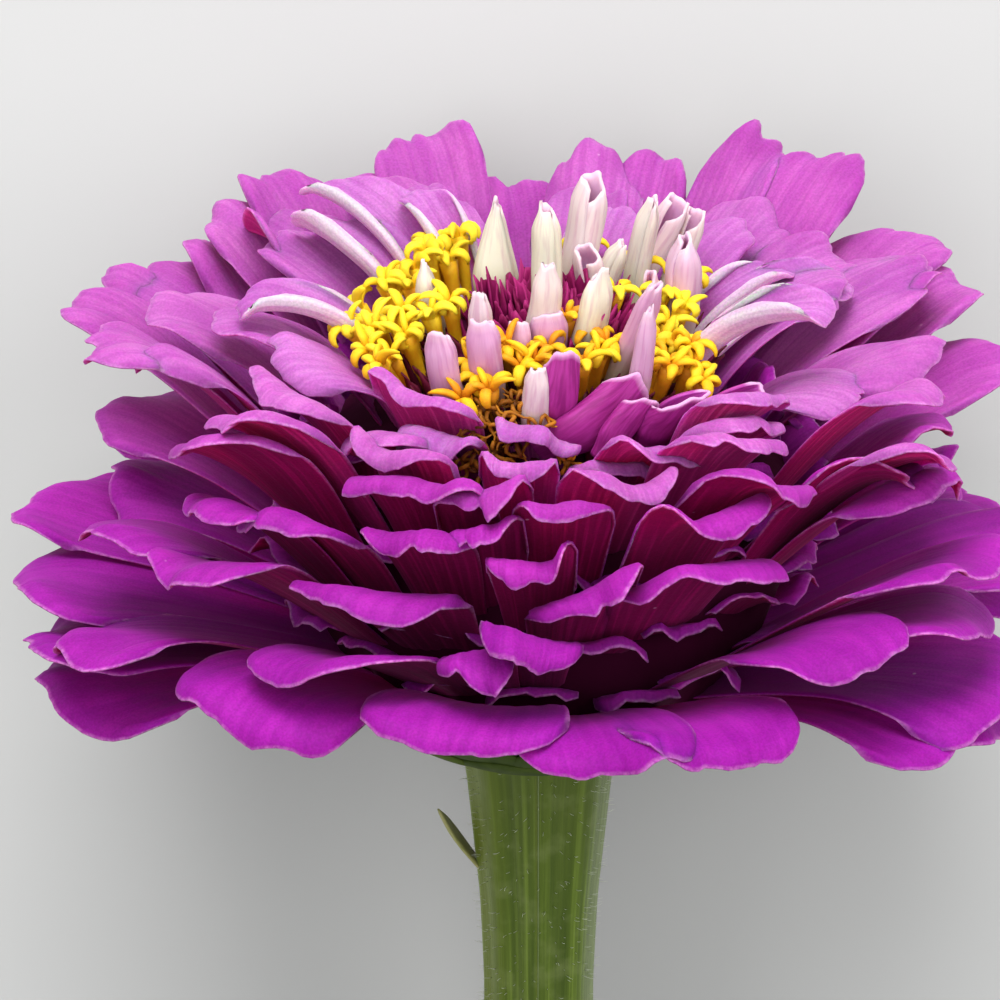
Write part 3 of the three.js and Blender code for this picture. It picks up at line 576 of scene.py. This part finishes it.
def floret(piece, index, azimuth, radius, sunk, kind):
    """A tube that opens as a star of five lobes, curled back, or withered and twisted."""
    out, side = ray(azimuth)
    mouth = out * radius + UP * (disc_height(radius) - sunk)
    root = out * min(0.8 * radius, 10.5) + UP * FLORET_ROOT
    axis = unit(mouth - root)
    spine = [root, 0.5 * (root + mouth) - 0.4 * UP, mouth - 1.2 * axis, mouth]
    # painted shade: florets towards the front turn a deeper orange
    front = smooth(0.2, 0.9, cos(radians(azimuth)))
    tone = 0.12 * chance(index, 81) + 0.24 * front
    if kind is SPENT:
        tone = 0.55 + 0.35 * chance(index, 81)
    piece.tube([p @ HEAD.T for p in spine], kind["tube"], ROUND, tone + 0.25)
    a1 = unit(np.cross(axis, side))
    a2 = np.cross(axis, a1)
    turn = 2 * pi * chance(index, 82)
    for lobe in range(LOBES):
        one = index * 7 + lobe
        angle = turn + 2 * pi * lobe / LOBES + vary(one, 83, 0.3)
        away = a1 * cos(angle) + a2 * sin(angle)
        long = kind["long"] + vary(one, 84, 0.6)
        curl = kind["curl"] + vary(one, 85, 0.75)
        sideways = np.cross(axis, away) * vary(one, 86, kind["swing"])
        points, place, heading = [mouth - axis * 0.6], mouth + away * 0.35, 1.3
        for k in range(LOBE_STEPS):
            points.append(place)
            direction = away * cos(heading) + axis * sin(heading) + sideways * k / LOBE_STEPS
            place = place + direction * long / LOBE_STEPS
            heading -= curl * 2.7 / LOBE_STEPS
        radii = [kind["thick"] * f for f in LOBE_WIDTHS]
        piece.tube([p @ HEAD.T for p in points], radii, ROUND, tone + 0.12 * vary(one, 88, 1), kind["flat"])


def florets(material):
    piece = Piece("star_florets")
    for index, (azimuth, radius) in enumerate(OPEN_FLORETS):
        floret(piece, index, azimuth, radius, vary(index, 80, 0.6), OPEN)
    for index, (azimuth, radius, rise) in enumerate(HIGH_FLORETS):
        floret(piece, 100 + index, azimuth, radius, -rise, OPEN)
    piece.build(material, "disc_florets")
    piece = Piece("spent_florets")
    for index, (azimuth, radius, sunk) in enumerate(SPENT_FLORETS):
        floret(piece, 200 + index, azimuth, radius, sunk, SPENT)
    piece.build(material, "disc_florets")


# Young ray petals still rolled up: azimuth and radius at the foot, azimuth, radius and height at the
# tip, width, width at the tip over it, how far it is open, how lilac it is
YOUNG_RAYS = [
    (213, 6.5, 210, 8, 41, 3.6, 0.32, 0, 0), (187, 1.5, 186, 3.5, 42.3, 2.1, 0.9, 0, 0),
    (333, 4, 357, 5, 41.5, 2.3, 0.85, 0, 0.15), (169, 5.5, 156, 8, 43, 2.3, 1, 0.3, 0.2),
    (142, 4.5, 147, 5, 38.5, 1.9, 1.1, 0.5, 0.2), (145, 6.5, 136, 8, 38.3, 1.8, 0.8, 0, 0.05),
    (32, 3.5, 41, 5.5, 40.6, 2.4, 0.95, 0.2, 0), (139, 10, 137, 11.5, 40.8, 1.9, 0.9, 0, 0.1),
    (151, 12, 141, 16, 39, 1.9, 1.1, 0.5, 0.3), (139, 13.5, 138, 17, 38, 1.5, 1.1, 0.5, 0.15),
    (104, 10.5, 106, 10.5, 40.2, 3, 1, 0.1, 0.5), (38, 7.5, 47, 10.5, 41, 1.9, 0.95, 0.3, 0.7),
    (95, 6, 95, 7.5, 38.3, 1.6, 0.9, 0.6, 0.5), (33, 11.5, 33, 13, 40.8, 1.7, 0.8, 0, 0.6),
    (334, 7, 324, 9, 40.2, 1.7, 0.95, 0.2, 0.25), (334, 10, 332, 11, 39.2, 2.3, 1, 0.4, 0.75),
    (325, 12, 322, 13.5, 38.5, 2.2, 1, 0.4, 0.65), (261, 8, 261, 9.5, 38.5, 2.3, 0.7, 0, 0.05),
    (345, 5.5, 339, 6.5, 37.4, 1.3, 1.1, 0.6, 0.6), (359, 5, 358, 5.5, 37.8, 2, 1.1, 0.5, 0.7),
    (354, 12.5, 356, 13.2, 37, 1.7, 0.9, 0.3, 0.2), (358, 11, 4, 12.5, 38.3, 2.2, 0.8, 1.4, 1.5),
    (356, 13.5, 30, 12.8, 35.6, 2.7, 1, 1.8, 1.5), (16, 14.5, 29, 14.5, 34.6, 1.8, 1, 1.5, 1.5),
    (36, 13.5, 37, 16.5, 35.4, 3, 1, 1.8, 1.5), (50, 14.5, 49, 18.5, 35, 3.2, 1, 1.8, 1.5),
]
ROLL = 205  # degrees each way that a closed ray is rolled up
OPENS = (33, 42)  # degrees that it opens all along, and more towards its tip


def young_ray(row):
    """A petal rolled up as a tube, with a slanting mouth that is open to the flower's axis."""
    foot_azimuth, foot_radius, tip_azimuth, tip_radius, tip_height, width, taper, opening, _ = row
    number = int(foot_azimuth + 10 * foot_radius)
    foot = ray(foot_azimuth)[0] * foot_radius * 0.95 + UP * (disc_height(foot_radius) - 4.5)
    out = ray(tip_azimuth)[0]
    tip = out * tip_radius + UP * tip_height
    along = unit(tip - foot)
    back = unit(out - along * (out @ along))
    across = np.cross(along, back)
    bow = 0.5 + vary(number, 90, 0.5)
    swing = vary(number, 91, 0.5)

    def surface(u, v):
        outline = 1 - (0.1 + 0.1 * opening) * np.abs(v) ** 2 + 0.05 * v + 0.03 * rough(number, 220, 2.4 * v)
        t = u * outline
        pipe = 0.5 * width * (1 + (taper - 1) * smooth(0.3, 0.95, t)) * (0.75 + 0.25 * smooth(0.1, 0.4, t))
        pipe *= 1 - 0.6 * smooth(0.8, 1, t) * max(0, 1 - opening)
        flat = 1 - 0.5 * smooth(0.7, 1, t) * max(0.3, 1 - opening)
        opened = OPENS[0] * min(opening, 1) + OPENS[1] * opening * smooth(0.45, 0.95, t)
        roll = np.radians(ROLL - opened) * v
        pipe *= 1 + 0.12 * v
        pipe *= 1 + 0.13 * rough(number, 230, 1.3 * roll + 1.5 * t) * smooth(0.2, 1, t)
        middle = foot + (tip - foot) * t[..., None]
        middle += (back * bow + across * swing) * np.sin(pi * t)[..., None]
        x = (pipe * np.sin(roll) * (1 + 0.25 * opening))[..., None]
        y = (0.8 * pipe * flat * np.cos(roll) + 0.12 * pipe * np.abs(v) ** 2)[..., None]
        return (middle + across * x + back * y) @ HEAD.T

    return surface


def young_rays(material):
    piece = Piece("rolled_rays")
    for row in YOUNG_RAYS:
        piece.sheet(young_ray(row), steps=(26, 25), thickness=0.26, tone=row[8], rim=0.9)
    piece.build(material, "young_rays")


CHAFF_SCALES = 420
CHAFF_RADIUS = 14.5
CHAFF_HEIGHT = 4.2
GOLDEN_ANGLE = 137.508


def chaff(material):
    """Ragged crimson scales that fill the disc between the florets."""
    piece = Piece("chaff_scales")
    for index in range(CHAFF_SCALES):
        azimuth = GOLDEN_ANGLE * index
        radius = CHAFF_RADIUS * sqrt((index + 0.5) / CHAFF_SCALES)
        out, side = ray(azimuth)
        crest = smooth(8.5, 6.5, radius)
        top = disc_height(radius) - 1.8 + 2.6 * crest * smooth(-1, 3, radius) + vary(index, 95, 0.5)
        foot = out * radius * 0.82 + UP * (top - CHAFF_HEIGHT)
        lean = 0.1 * radius + vary(index, 96, 0.5)
        swing = vary(index, 97, 0.7)
        width = 1.25 + vary(index, 98, 0.25)

        def surface(u, v):
            t = u * (1 - 0.28 * np.abs(v) - 0.1 * rough(index, 240, 4 * v))
            half = 0.5 * width * (0.6 + 0.4 * smooth(0, 0.5, t)) * (1 - 0.4 * smooth(0.6, 1, t))
            bend = (lean * t * t)[..., None]
            rise = (CHAFF_HEIGHT * t + 0.25 * np.sin(9 * t + index))[..., None]
            cup = (0.6 * half * v * v)[..., None]
            point = foot + out * (bend - cup) + side * (half * v + swing * t * t)[..., None]
            return (point + UP * rise) @ HEAD.T

        tone = 0.1 + 0.35 * chance(index, 94) + 0.5 * crest
        piece.sheet(surface, steps=(8, 5), thickness=0.2, tone=tone, rim=0.6)
    piece.build(material, "chaff")


# ---- under the head
# the cup of green bracts: radius, height
BOWL = [(6.2, 0.2), (8.8, 1.4), (11.4, 2.8), (13.4, 4), (14.1, 5.2), (13.4, 6.4), (11, 6.8)]
# bracts in a row, first azimuth, foot radius and height, tip radius and height, width
BRACT_ROWS = [
    (10, 0, 6, 0.7, 11.4, 3.2, 7),
    (12, 18, 8, 1.5, 13.8, 4.2, 7.4),
    (13, 5, 10.5, 2.8, 15, 5.9, 7.4),
]


def involucre(material):
    """The green cup and its rows of rounded, bulging bracts."""
    piece = Piece("involucral_bracts")
    piece.add(*lathe(BOWL, 48), 0.3)
    for r, (count, first, foot_radius, foot_height, tip_radius, tip_height, width) in enumerate(BRACT_ROWS):
        for i in range(count):
            one = 40 * r + i
            out, side = ray(first + 360 / count * i + vary(one, 101, 4))
            foot = out * foot_radius + UP * (foot_height - 0.25)
            tip = out * (tip_radius + vary(one, 102, 0.4)) + UP * (tip_height + vary(one, 103, 0.3))

            def surface(u, v):
                outline = 1 - 0.42 * (1 - np.sqrt(np.clip(1 - np.abs(v) ** 2.1, 0, 1)))
                outline += 0.02 * np.sin(31 * v + one)
                t = u * outline
                half = 0.5 * width * (0.7 + 0.3 * smooth(0, 0.6, t))
                middle = foot + (tip - foot) * t[..., None]
                belly = (0.6 * np.sin(pi * np.clip(t, 0, 1)) + 0.3 - 0.1 * half * v * v)[..., None]
                bulge = (out * 0.6 - UP * 0.8) * belly
                return (middle + side * (half * v)[..., None] + bulge) @ HEAD.T

            tone = 0.5 + 0.5 * chance(one, 104)
            piece.sheet(surface, steps=(10, 13), thickness=0.5, tone=tone, rim=0.4)
    piece.build(material, "involucre")


# stem radius and height from the cut end up
STEM_PROFILE = [
    (STEM_END_RADIUS, -STEM_LENGTH), (4.1, -60), (4.15, -22), (4.45, -15), (4.95, -10), (5.5, -4.5),
    (6.1, -0.6), (6.4, 0.9),
]
STEM_TOP = 0.6
STEM_SIDES = 96
STEM_ROWS = 90
# rings on the cut, a little hollowed out: radius, depth
CUT = [(0.4, 0.5), (2.6, 0.35), (3.7, 0.02)]
# the one deeper groove, in radians but for its depth
GROOVE_AT = 3.0
GROOVE_TURN = 0.35
GROOVE_WIDTH = 0.1
GROOVE_DEPTH = 0.22
STEM_HAIRS = 3400


def stem_radius(azimuth, height):
    heights = [h for _, h in STEM_PROFILE]
    radii = [r for r, _ in STEM_PROFILE]
    ridge = RIDGE_DEPTH * np.cos(STEM_RIDGES * azimuth)
    past_groove = np.mod(azimuth + GROOVE_TURN, 2 * pi) - pi - GROOVE_AT
    groove = GROOVE_DEPTH * np.exp(-((past_groove / GROOVE_WIDTH) ** 2))
    return np.interp(height, heights, radii) + ridge - groove


def stem(material, hair_material):
    """The ridged stem with its pale cut end, and the fine hairs that stand on it."""
    levels = [(-STEM_LENGTH + depth, radius) for radius, depth in CUT]
    levels += [(height, None) for height in np.linspace(-STEM_LENGTH, STEM_TOP, STEM_ROWS)]
    rings, blade = [], []
    for height, on_cut in levels:
        u = 0 if on_cut else (height + STEM_LENGTH) / STEM_LENGTH
        for k in range(STEM_SIDES):
            a = 2 * pi * k / STEM_SIDES
            radius = on_cut or stem_radius(a, height)
            rings.append((radius * sin(a), -radius * cos(a), height))
            blade.append((u, k / STEM_SIDES, 1 if on_cut else 0))
    piece = Piece("ridged_stem")
    piece.add(rings, ring_faces(len(levels), STEM_SIDES), blade, 0)
    piece.build(material, "stem")
    hairs = Piece("stem_hairs")
    for index in range(STEM_HAIRS):
        azimuth = 360 * chance(index, 110)
        height = -STEM_LENGTH + (STEM_LENGTH - 1) * chance(index, 111)
        out, side = ray(azimuth)
        foot = out * (stem_radius(radians(azimuth), height) - 0.05) + UP * height
        long = 0.3 + 0.45 * chance(index, 112)
        drift = side * vary(index, 113, 0.35) + UP * (vary(index, 114, 0.3) + 0.1)
        middle = foot + out * 0.55 * long + drift * 0.3 * long
        hairs.tube([foot, middle, foot + out * long + drift * long], (0.025, 0.018, 0.006), 3, 0)
    hairs.build(hair_material, "stem")


def bractlet(material):
    """The small leaf on the side of the stem."""
    piece = Piece("stem_bractlet")
    out, side = ray(-90)
    foot = out * 4.5 - UP * 12.6
    bend = out * 6.6 - UP * 9.8
    tip = out * 8.0 - UP * 7.4

    def surface(u, v):
        t = u * (1 - 0.5 * np.abs(v) ** 1.5)
        s = (1 - t)[..., None]
        w = t[..., None]
        middle = s * s * foot + 2 * s * w * bend + w * w * tip
        half = 1.25 * (0.45 + 0.55 * np.sin(pi * np.clip(t * 0.9 + 0.1, 0, 1)))
        wave = 0.22 * np.sin(5 * t + 3 * v) * t
        fold = 0.35 * np.abs(v) * half
        return middle + side * (half * v)[..., None] + (out * 0.5 + UP * 0.8) * (wave + fold)[..., None]

    piece.sheet(surface, steps=(16, 9), thickness=0.3, tone=0.8, rim=0.5)
    piece.build(material, "stem")


# ---- materials
class Recipe:
    """A procedural material: its nodes, and what the pieces tell it at each vertex."""

    def __init__(self, name):
        self.material = bpy.data.materials.new(name)
        self.material.use_nodes = True
        self.tree = self.material.node_tree
        self.shader = self.tree.nodes["Principled BSDF"]
        blade = self.node("Attribute", attribute_name="blade").outputs["Vector"]
        split = self.node("SeparateXYZ", {"Vector": blade}).outputs
        # u runs from root to tip, v from margin to margin, side is 1 on the underside or on a cut
        self.u, self.v, self.side = split["X"], split["Y"], split["Z"]
        self.tone = self.node("Attribute", attribute_name="tone").outputs["Fac"]
        self.place = self.node("TexCoord").outputs["Object"]

    def feed(self, socket, value):
        """Links a socket, or sets its own value."""
        if isinstance(value, bpy.types.NodeSocket):
            self.tree.links.new(value, socket)
        elif socket.type == "RGBA":
            socket.default_value = (*value, 1)
        else:
            socket.default_value = value

    def node(self, kind, inputs=(), **settings):
        made = self.tree.nodes.new("ShaderNode" + kind)
        for key, value in settings.items():
            setattr(made, key, value)
        for key, value in dict(inputs).items():
            self.feed(made.inputs[key], value)
        return made

    def mix(self, factor, a, b, mode="MIX"):
        inputs = {0: factor, 6: a, 7: b}
        return self.node("Mix", inputs, data_type="RGBA", blend_type=mode).outputs[2]

    def maths(self, operation, a, b=0, clamp=False):
        made = self.node("Math", {0: a, 1: b}, operation=operation, use_clamp=clamp)
        return made.outputs[0]

    def times(self, a, b, clamp=False):
        return self.maths("MULTIPLY", a, b, clamp)

    def ramp(self, value, stops):
        made = self.node("ValToRGB", {"Fac": value})
        elements = made.color_ramp.elements
        while len(elements) < len(stops):
            elements.new(0.5)
        for element, (place, colour) in zip(elements, stops):
            element.position = place
            element.color = (*colour, 1) if isinstance(colour, tuple) else (colour, colour, colour, 1)
        return made.outputs["Color"]

    def noise(self, where, scale, detail, roughness=0.5):
        inputs = {"Vector": where, "Scale": scale, "Detail": detail, "Roughness": roughness}
        return self.node("TexNoise", inputs).outputs["Fac"]

    def along(self, x, y, z):
        """A place that runs with u, v and the tone, each stretched."""
        inputs = {"X": self.times(self.u, x), "Y": self.times(self.v, y), "Z": self.times(self.tone, z)}
        return self.node("CombineXYZ", inputs).outputs[0]

    def mottled(self, noise, share):
        """The tone, shifted up and down by a noise."""
        return self.maths("ADD", self.tone, self.times(self.maths("SUBTRACT", noise, 0.5), share))

    def finish(self, colour, bump, roughness, specular, glow=(), sheen=()):
        """Feeds the shader; a bump is a height, its strength and depth."""
        bump = self.node("Bump", dict(zip(("Height", "Strength", "Distance"), bump)))
        settings = {"Base Color": colour, "Normal": bump.outputs[0]}
        settings.update({"Roughness": roughness, "Specular IOR Level": specular})
        settings.update(zip(("Subsurface Weight", "Subsurface Radius", "Subsurface Scale"), glow))
        settings.update(zip(("Sheen Weight", "Sheen Roughness", "Sheen Tint"), sheen))
        for name, value in settings.items():
            self.feed(self.shader.inputs[name], value)
        return self.material


def petal_material():
    """Velvety magenta above, with painted shade towards the root; below, maroon with lengthwise streaks,
    partly its own colour and partly painted shade; a pale line along the margins.
    """
    m = Recipe("petal")
    veins = m.noise(m.along(1.2, 6.5, 31), 1.6, 5)
    clouds = m.noise(m.place, 190, 5)
    velvet = m.noise(m.place, 2200, 3)
    grain = m.noise(m.place, 5200, 2)
    cells = m.node("TexVoronoi", {"Vector": m.place, "Scale": 520}).outputs

    top = m.ramp(m.tone, [
        (0, (0.35, 0.012, 0.36)), (0.4, (0.42, 0.025, 0.38)), (0.56, (0.5, 0.11, 0.44)),
        (0.78, (0.55, 0.15, 0.48)), (1, (0.55, 0.19, 0.52)),
    ])
    dark = m.mix(1, top, (0.6, 0.3, 0.66), "MULTIPLY")
    top = m.mix(m.ramp(veins, [(0.42, 0.4), (0.6, 0)]), top, dark)
    top = m.mix(m.ramp(clouds, [(0.35, 0.6), (0.62, 0)]), top, dark)
    # painted shade: the upper face darkens towards the root, where the petals overlap
    top = m.mix(m.ramp(m.u, [(0.05, 0.8), (0.3, 0.35), (0.6, 0)]), top, (0.28, 0.002, 0.2))
    # the underside: its own maroon, partly darkened as painted shade
    below = m.ramp(m.tone, [
        (0, (0.11, 0.001, 0.05)), (0.5, (0.29, 0.002, 0.08)), (0.85, (0.42, 0.02, 0.19)),
        (1, (0.52, 0.09, 0.36)),
    ])
    pink = m.mix(1, below, (1.9, 3, 1.9), "MULTIPLY")
    below = m.mix(m.ramp(veins, [(0.5, 0), (0.66, 0.7)]), below, pink)
    cream = m.mix(m.ramp(veins, [(0.46, 0), (0.66, 0.6)]), (0.74, 0.58, 0.65), (0.6, 0.26, 0.52))
    cream = m.mix(m.ramp(m.u, [(0.8, 0), (1, 0.4)]), cream, (0.76, 0.4, 0.66))
    below = m.mix(m.maths("GREATER_THAN", m.tone, PALE_FROM), below, cream)
    body = m.mix(m.side, top, below)
    at_tip = m.ramp(m.u, [(0.975, 0), (1, 1)])
    at_sides = m.ramp(m.maths("ABSOLUTE", m.v), [(0.965, 0), (1, 1)])
    rim = m.times(m.maths("MAXIMUM", at_tip, at_sides), m.ramp(velvet, [(0.4, 0.2), (0.6, 0.6)]))
    rim = m.times(rim, m.ramp(m.u, [(0.6, 0.15), (0.92, 1)]))
    body = m.mix(rim, body, (0.8, 0.3, 0.66))
    speck = m.times(m.ramp(cells["Distance"], [(0.04, 1), (0.09, 0)]),
                    m.ramp(cells["Color"], [(0.82, 0), (0.86, 0.4)]))
    body = m.mix(speck, body, (0.85, 0.55, 0.8))
    body = m.mix(1, body, m.ramp(grain, [(0.35, 0.82), (0.65, 1)]), "MULTIPLY")
    height = m.maths("ADD", veins, m.times(velvet, 0.3))
    return m.finish(body, (height, 0.35, 0.0003), 0.65, 0.1,
                    glow=(0.5, (1, 0.08, 0.55), 0.0022), sheen=(0.04, 0.4, (1, 0.4, 0.9)))


def plain(name, stops, roughness, scale=1200, specular=0.5):
    """A material whose colour runs with the tone, mottled by a fine noise."""
    m = Recipe(name)
    noise = m.noise(m.place, scale, 4)
    colour = m.ramp(m.mottled(noise, 0.5), stops)
    return m.finish(colour, (noise, 0.2, 0.0002), roughness, specular)


def floret_material():
    """Lemon yellow lobes, turned orange at the foot of each lobe and on those in front as painted shade;
    withered ones golden brown.
    """
    m = Recipe("floret")
    noise = m.noise(m.place, 900, 4)
    # painted shade: orange at the foot of each lobe and tube, down between the florets
    throat_shade = m.ramp(m.u, [(0, 0.3), (0.4, 0.04), (0.8, 0)])
    colour = m.ramp(m.maths("ADD", m.mottled(noise, 0.4), throat_shade), [
        (0, (0.88, 0.69, 0.03)), (0.25, (0.86, 0.53, 0.01)), (0.45, (0.72, 0.28, 0.006)),
        (0.7, (0.38, 0.14, 0.008)), (1, (0.13, 0.04, 0.006)),
    ])
    return m.finish(colour, (noise, 0.6, 0.0002), 0.6, 0.25, glow=(0.2, (1, 0.5, 0.1), 0.0008))


def young_material():
    """Waxy cream, flushed lilac at the mouth and inside; magenta on those that have coloured."""
    m = Recipe("young_ray")
    veins = m.noise(m.along(1.4, 5, 17), 2, 4)
    body = m.ramp(m.tone, [
        (0, (0.74, 0.68, 0.53)), (0.25, (0.71, 0.54, 0.57)), (0.6, (0.62, 0.35, 0.5)),
        (1, (0.5, 0.18, 0.4)),
    ])
    flushed = m.mix(1, body, (0.72, 0.42, 0.66), "MULTIPLY")
    body = m.mix(m.ramp(veins, [(0.48, 0), (0.68, 0.5)]), body, flushed)
    inside = m.mix(m.ramp(m.tone, [(0, 0), (1, 1)]), (0.72, 0.46, 0.62), (0.46, 0.05, 0.44))
    body = m.mix(m.maths("SUBTRACT", 1, m.side), body, inside)
    body = m.mix(m.ramp(m.u, [(0.9, 0), (1, 0.55)]), body, (0.9, 0.66, 0.72))
    body = m.mix(m.ramp(m.u, [(0.25, 0.7), (0.55, 0)]), body, (0.58, 0.56, 0.3))
    lively = m.mix(m.side, (0.58, 0.1, 0.52), (0.4, 0.03, 0.27))
    streaked = m.mix(1, lively, (0.6, 0.35, 0.55), "MULTIPLY")
    lively = m.mix(m.ramp(veins, [(0.42, 0.8), (0.62, 0)]), lively, streaked)
    lively = m.mix(m.ramp(m.u, [(0.93, 0), (1, 0.7)]), lively, (0.86, 0.5, 0.78))
    body = m.mix(m.maths("GREATER_THAN", m.tone, MAGENTA_FROM), body, lively)
    return m.finish(body, (veins, 0.35, 0.0002), 0.5, 0.3, glow=(0.3, (1, 0.7, 0.6), 0.001))


def stem_material():
    """Green with lengthwise stripes and pale on the cut; painted shade darkens it under the head, and
    painted light makes it yellower along its left edge and paler along its right.
    """
    m = Recipe("stem")
    stripes = m.noise(m.along(3, 46, 0), 1, 5, 0.6)
    mottle = m.noise(m.place, 500, 3)
    ridge = m.maths("COSINE", m.times(m.v, 2 * pi * STEM_RIDGES))
    groove = m.times(m.maths("SUBTRACT", 0, ridge), 0.35, clamp=True)
    # painted light: a lighter, yellower band along the stem's left edge as seen
    left_edge_light = m.ramp(m.v, [(0.64, 0), (0.74, 0.6), (0.82, 0.6), (0.92, 0)])
    # painted sheen: a pale band along the stem's right edge as seen
    right_edge_sheen = m.ramp(m.v, [(0.14, 0), (0.22, 0.55), (0.3, 0.55), (0.38, 0)])
    colour = m.ramp(stripes, [
        (0.3, (0.05, 0.085, 0.006)), (0.5, (0.092, 0.142, 0.013)), (0.7, (0.19, 0.27, 0.036)),
    ])
    colour = m.mix(groove, colour, (0.055, 0.085, 0.01))
    colour = m.mix(m.ramp(mottle, [(0.5, 0), (0.75, 0.35)]), colour, (0.26, 0.31, 0.11))
    # painted shade: darker at the top, under the head
    colour = m.mix(m.ramp(m.u, [(0.9, 0), (1, 0.5)]), colour, (0.1, 0.13, 0.02))
    colour = m.mix(left_edge_light, colour, (0.175, 0.215, 0.016))
    colour = m.mix(right_edge_sheen, colour, (0.3, 0.35, 0.2))
    colour = m.mix(m.side, colour, (0.62, 0.64, 0.4))
    height = m.maths("ADD", stripes, m.times(mottle, 0.4))
    return m.finish(colour, (height, 0.45, 0.0003), 0.48, 0.3, sheen=(0.35, 0.3, (0.8, 1, 0.45)))


# ---- the stage
CAMERA_ELEVATION = 22.0  # above the plane across the flower's axis
CAMERA_DISTANCE = 450.0
CAMERA_TARGET = np.array([-3.05, 0, 18.4])
FIELD = 76.3  # mm that the picture takes in at the target
SENSOR = 36  # mm
FLOOR_GREY = (0.53, 0.53, 0.52)
SKY = (0.92, 0.96, 1)
SKY_STRENGTH = 0.3
# soft lights, in metres: name, place, what it is aimed at, size, power
LIGHTS = [
    ("key", (0.05, -0.85, 0.55), (0, -0.05, 0.03), 0.6, 11),
    ("fill", (-0.65, -0.25, 0.6), (0, -0.03, 0.03), 0.7, 3.5),
    ("front", (0.25, -0.1, 0.9), (0, -0.03, 0.03), 0.8, 4.4),
]


def camera():
    """Looks at the bloom from the photo's angle, with the flower's axis upright in the picture."""
    data = bpy.data.cameras.new("camera")
    made = new_object("camera", data)
    elevation = radians(CAMERA_ELEVATION)
    direction = np.array([0, -cos(elevation), sin(elevation)])
    place = world(CAMERA_TARGET + CAMERA_DISTANCE * direction)
    forward = Vector(world(CAMERA_TARGET) - place).normalized()
    right = forward.cross(Vector(LAID @ UP)).normalized()
    matrix = Matrix((right, right.cross(forward), -forward)).transposed().to_4x4()
    matrix.translation = Vector(place)
    made.matrix_world = matrix
    data.lens = SENSOR * CAMERA_DISTANCE / FIELD
    data.clip_start, data.clip_end = 0.02, 20
    bpy.context.scene.camera = made


def stage():
    """The table, the lights and the sky."""
    bpy.ops.mesh.primitive_plane_add(size=4)
    floor = bpy.context.object
    floor.name = "floor"
    material = bpy.data.materials.new("floor")
    material.use_nodes = True
    shader = material.node_tree.nodes["Principled BSDF"]
    shader.inputs["Base Color"].default_value = (*FLOOR_GREY, 1)
    shader.inputs["Roughness"].default_value = 0.7
    floor.data.materials.append(material)
    for name, place, aim, size, power in LIGHTS:
        data = bpy.data.lights.new(name, "AREA")
        data.size, data.energy = size, power
        made = new_object(name, data)
        made.location = place
        made.rotation_euler = (Vector(aim) - Vector(place)).to_track_quat("-Z", "Y").to_euler()
    sky = bpy.data.worlds.new("sky")
    bpy.context.scene.world = sky
    sky.use_nodes = True
    background = sky.node_tree.nodes["Background"]
    background.inputs["Color"].default_value = (*SKY, 1)
    background.inputs["Strength"].default_value = SKY_STRENGTH
    bpy.context.scene.view_settings.view_transform = "Standard"


# ---- the scene
camera()
stage()
petals = petal_material()
ray_petals(petals)
# painted shade: the cone is near-black maroon for the depth among the petals
receptacle_shade = plain("receptacle", [(0.2, (0.05, 0.001, 0.02)), (0.8, (0.12, 0.003, 0.05))], 0.8, specular=0.1)
cone(receptacle_shade, petals)
florets(floret_material())
young_rays(young_material())
chaff(plain("chaff", [
    (0, (0.05, 0.008, 0.008)), (0.4, (0.13, 0.006, 0.03)), (0.7, (0.24, 0.006, 0.085)),
    (1, (0.42, 0.02, 0.17)),
], 0.6, specular=0.2))
involucre(plain("bract", [
    (0, (0.012, 0.018, 0.004)), (0.5, (0.04, 0.065, 0.008)), (1, (0.1, 0.14, 0.02)),
], 0.7, scale=800, specular=0.2))
stem(stem_material(), plain("hair", [(0, (0.72, 0.76, 0.62)), (1, (0.8, 0.82, 0.7))], 0.5))
bractlet(plain("bractlet", [
    (0, (0.16, 0.2, 0.03)), (0.6, (0.28, 0.31, 0.09)), (1, (0.45, 0.4, 0.18)),
], 0.6))
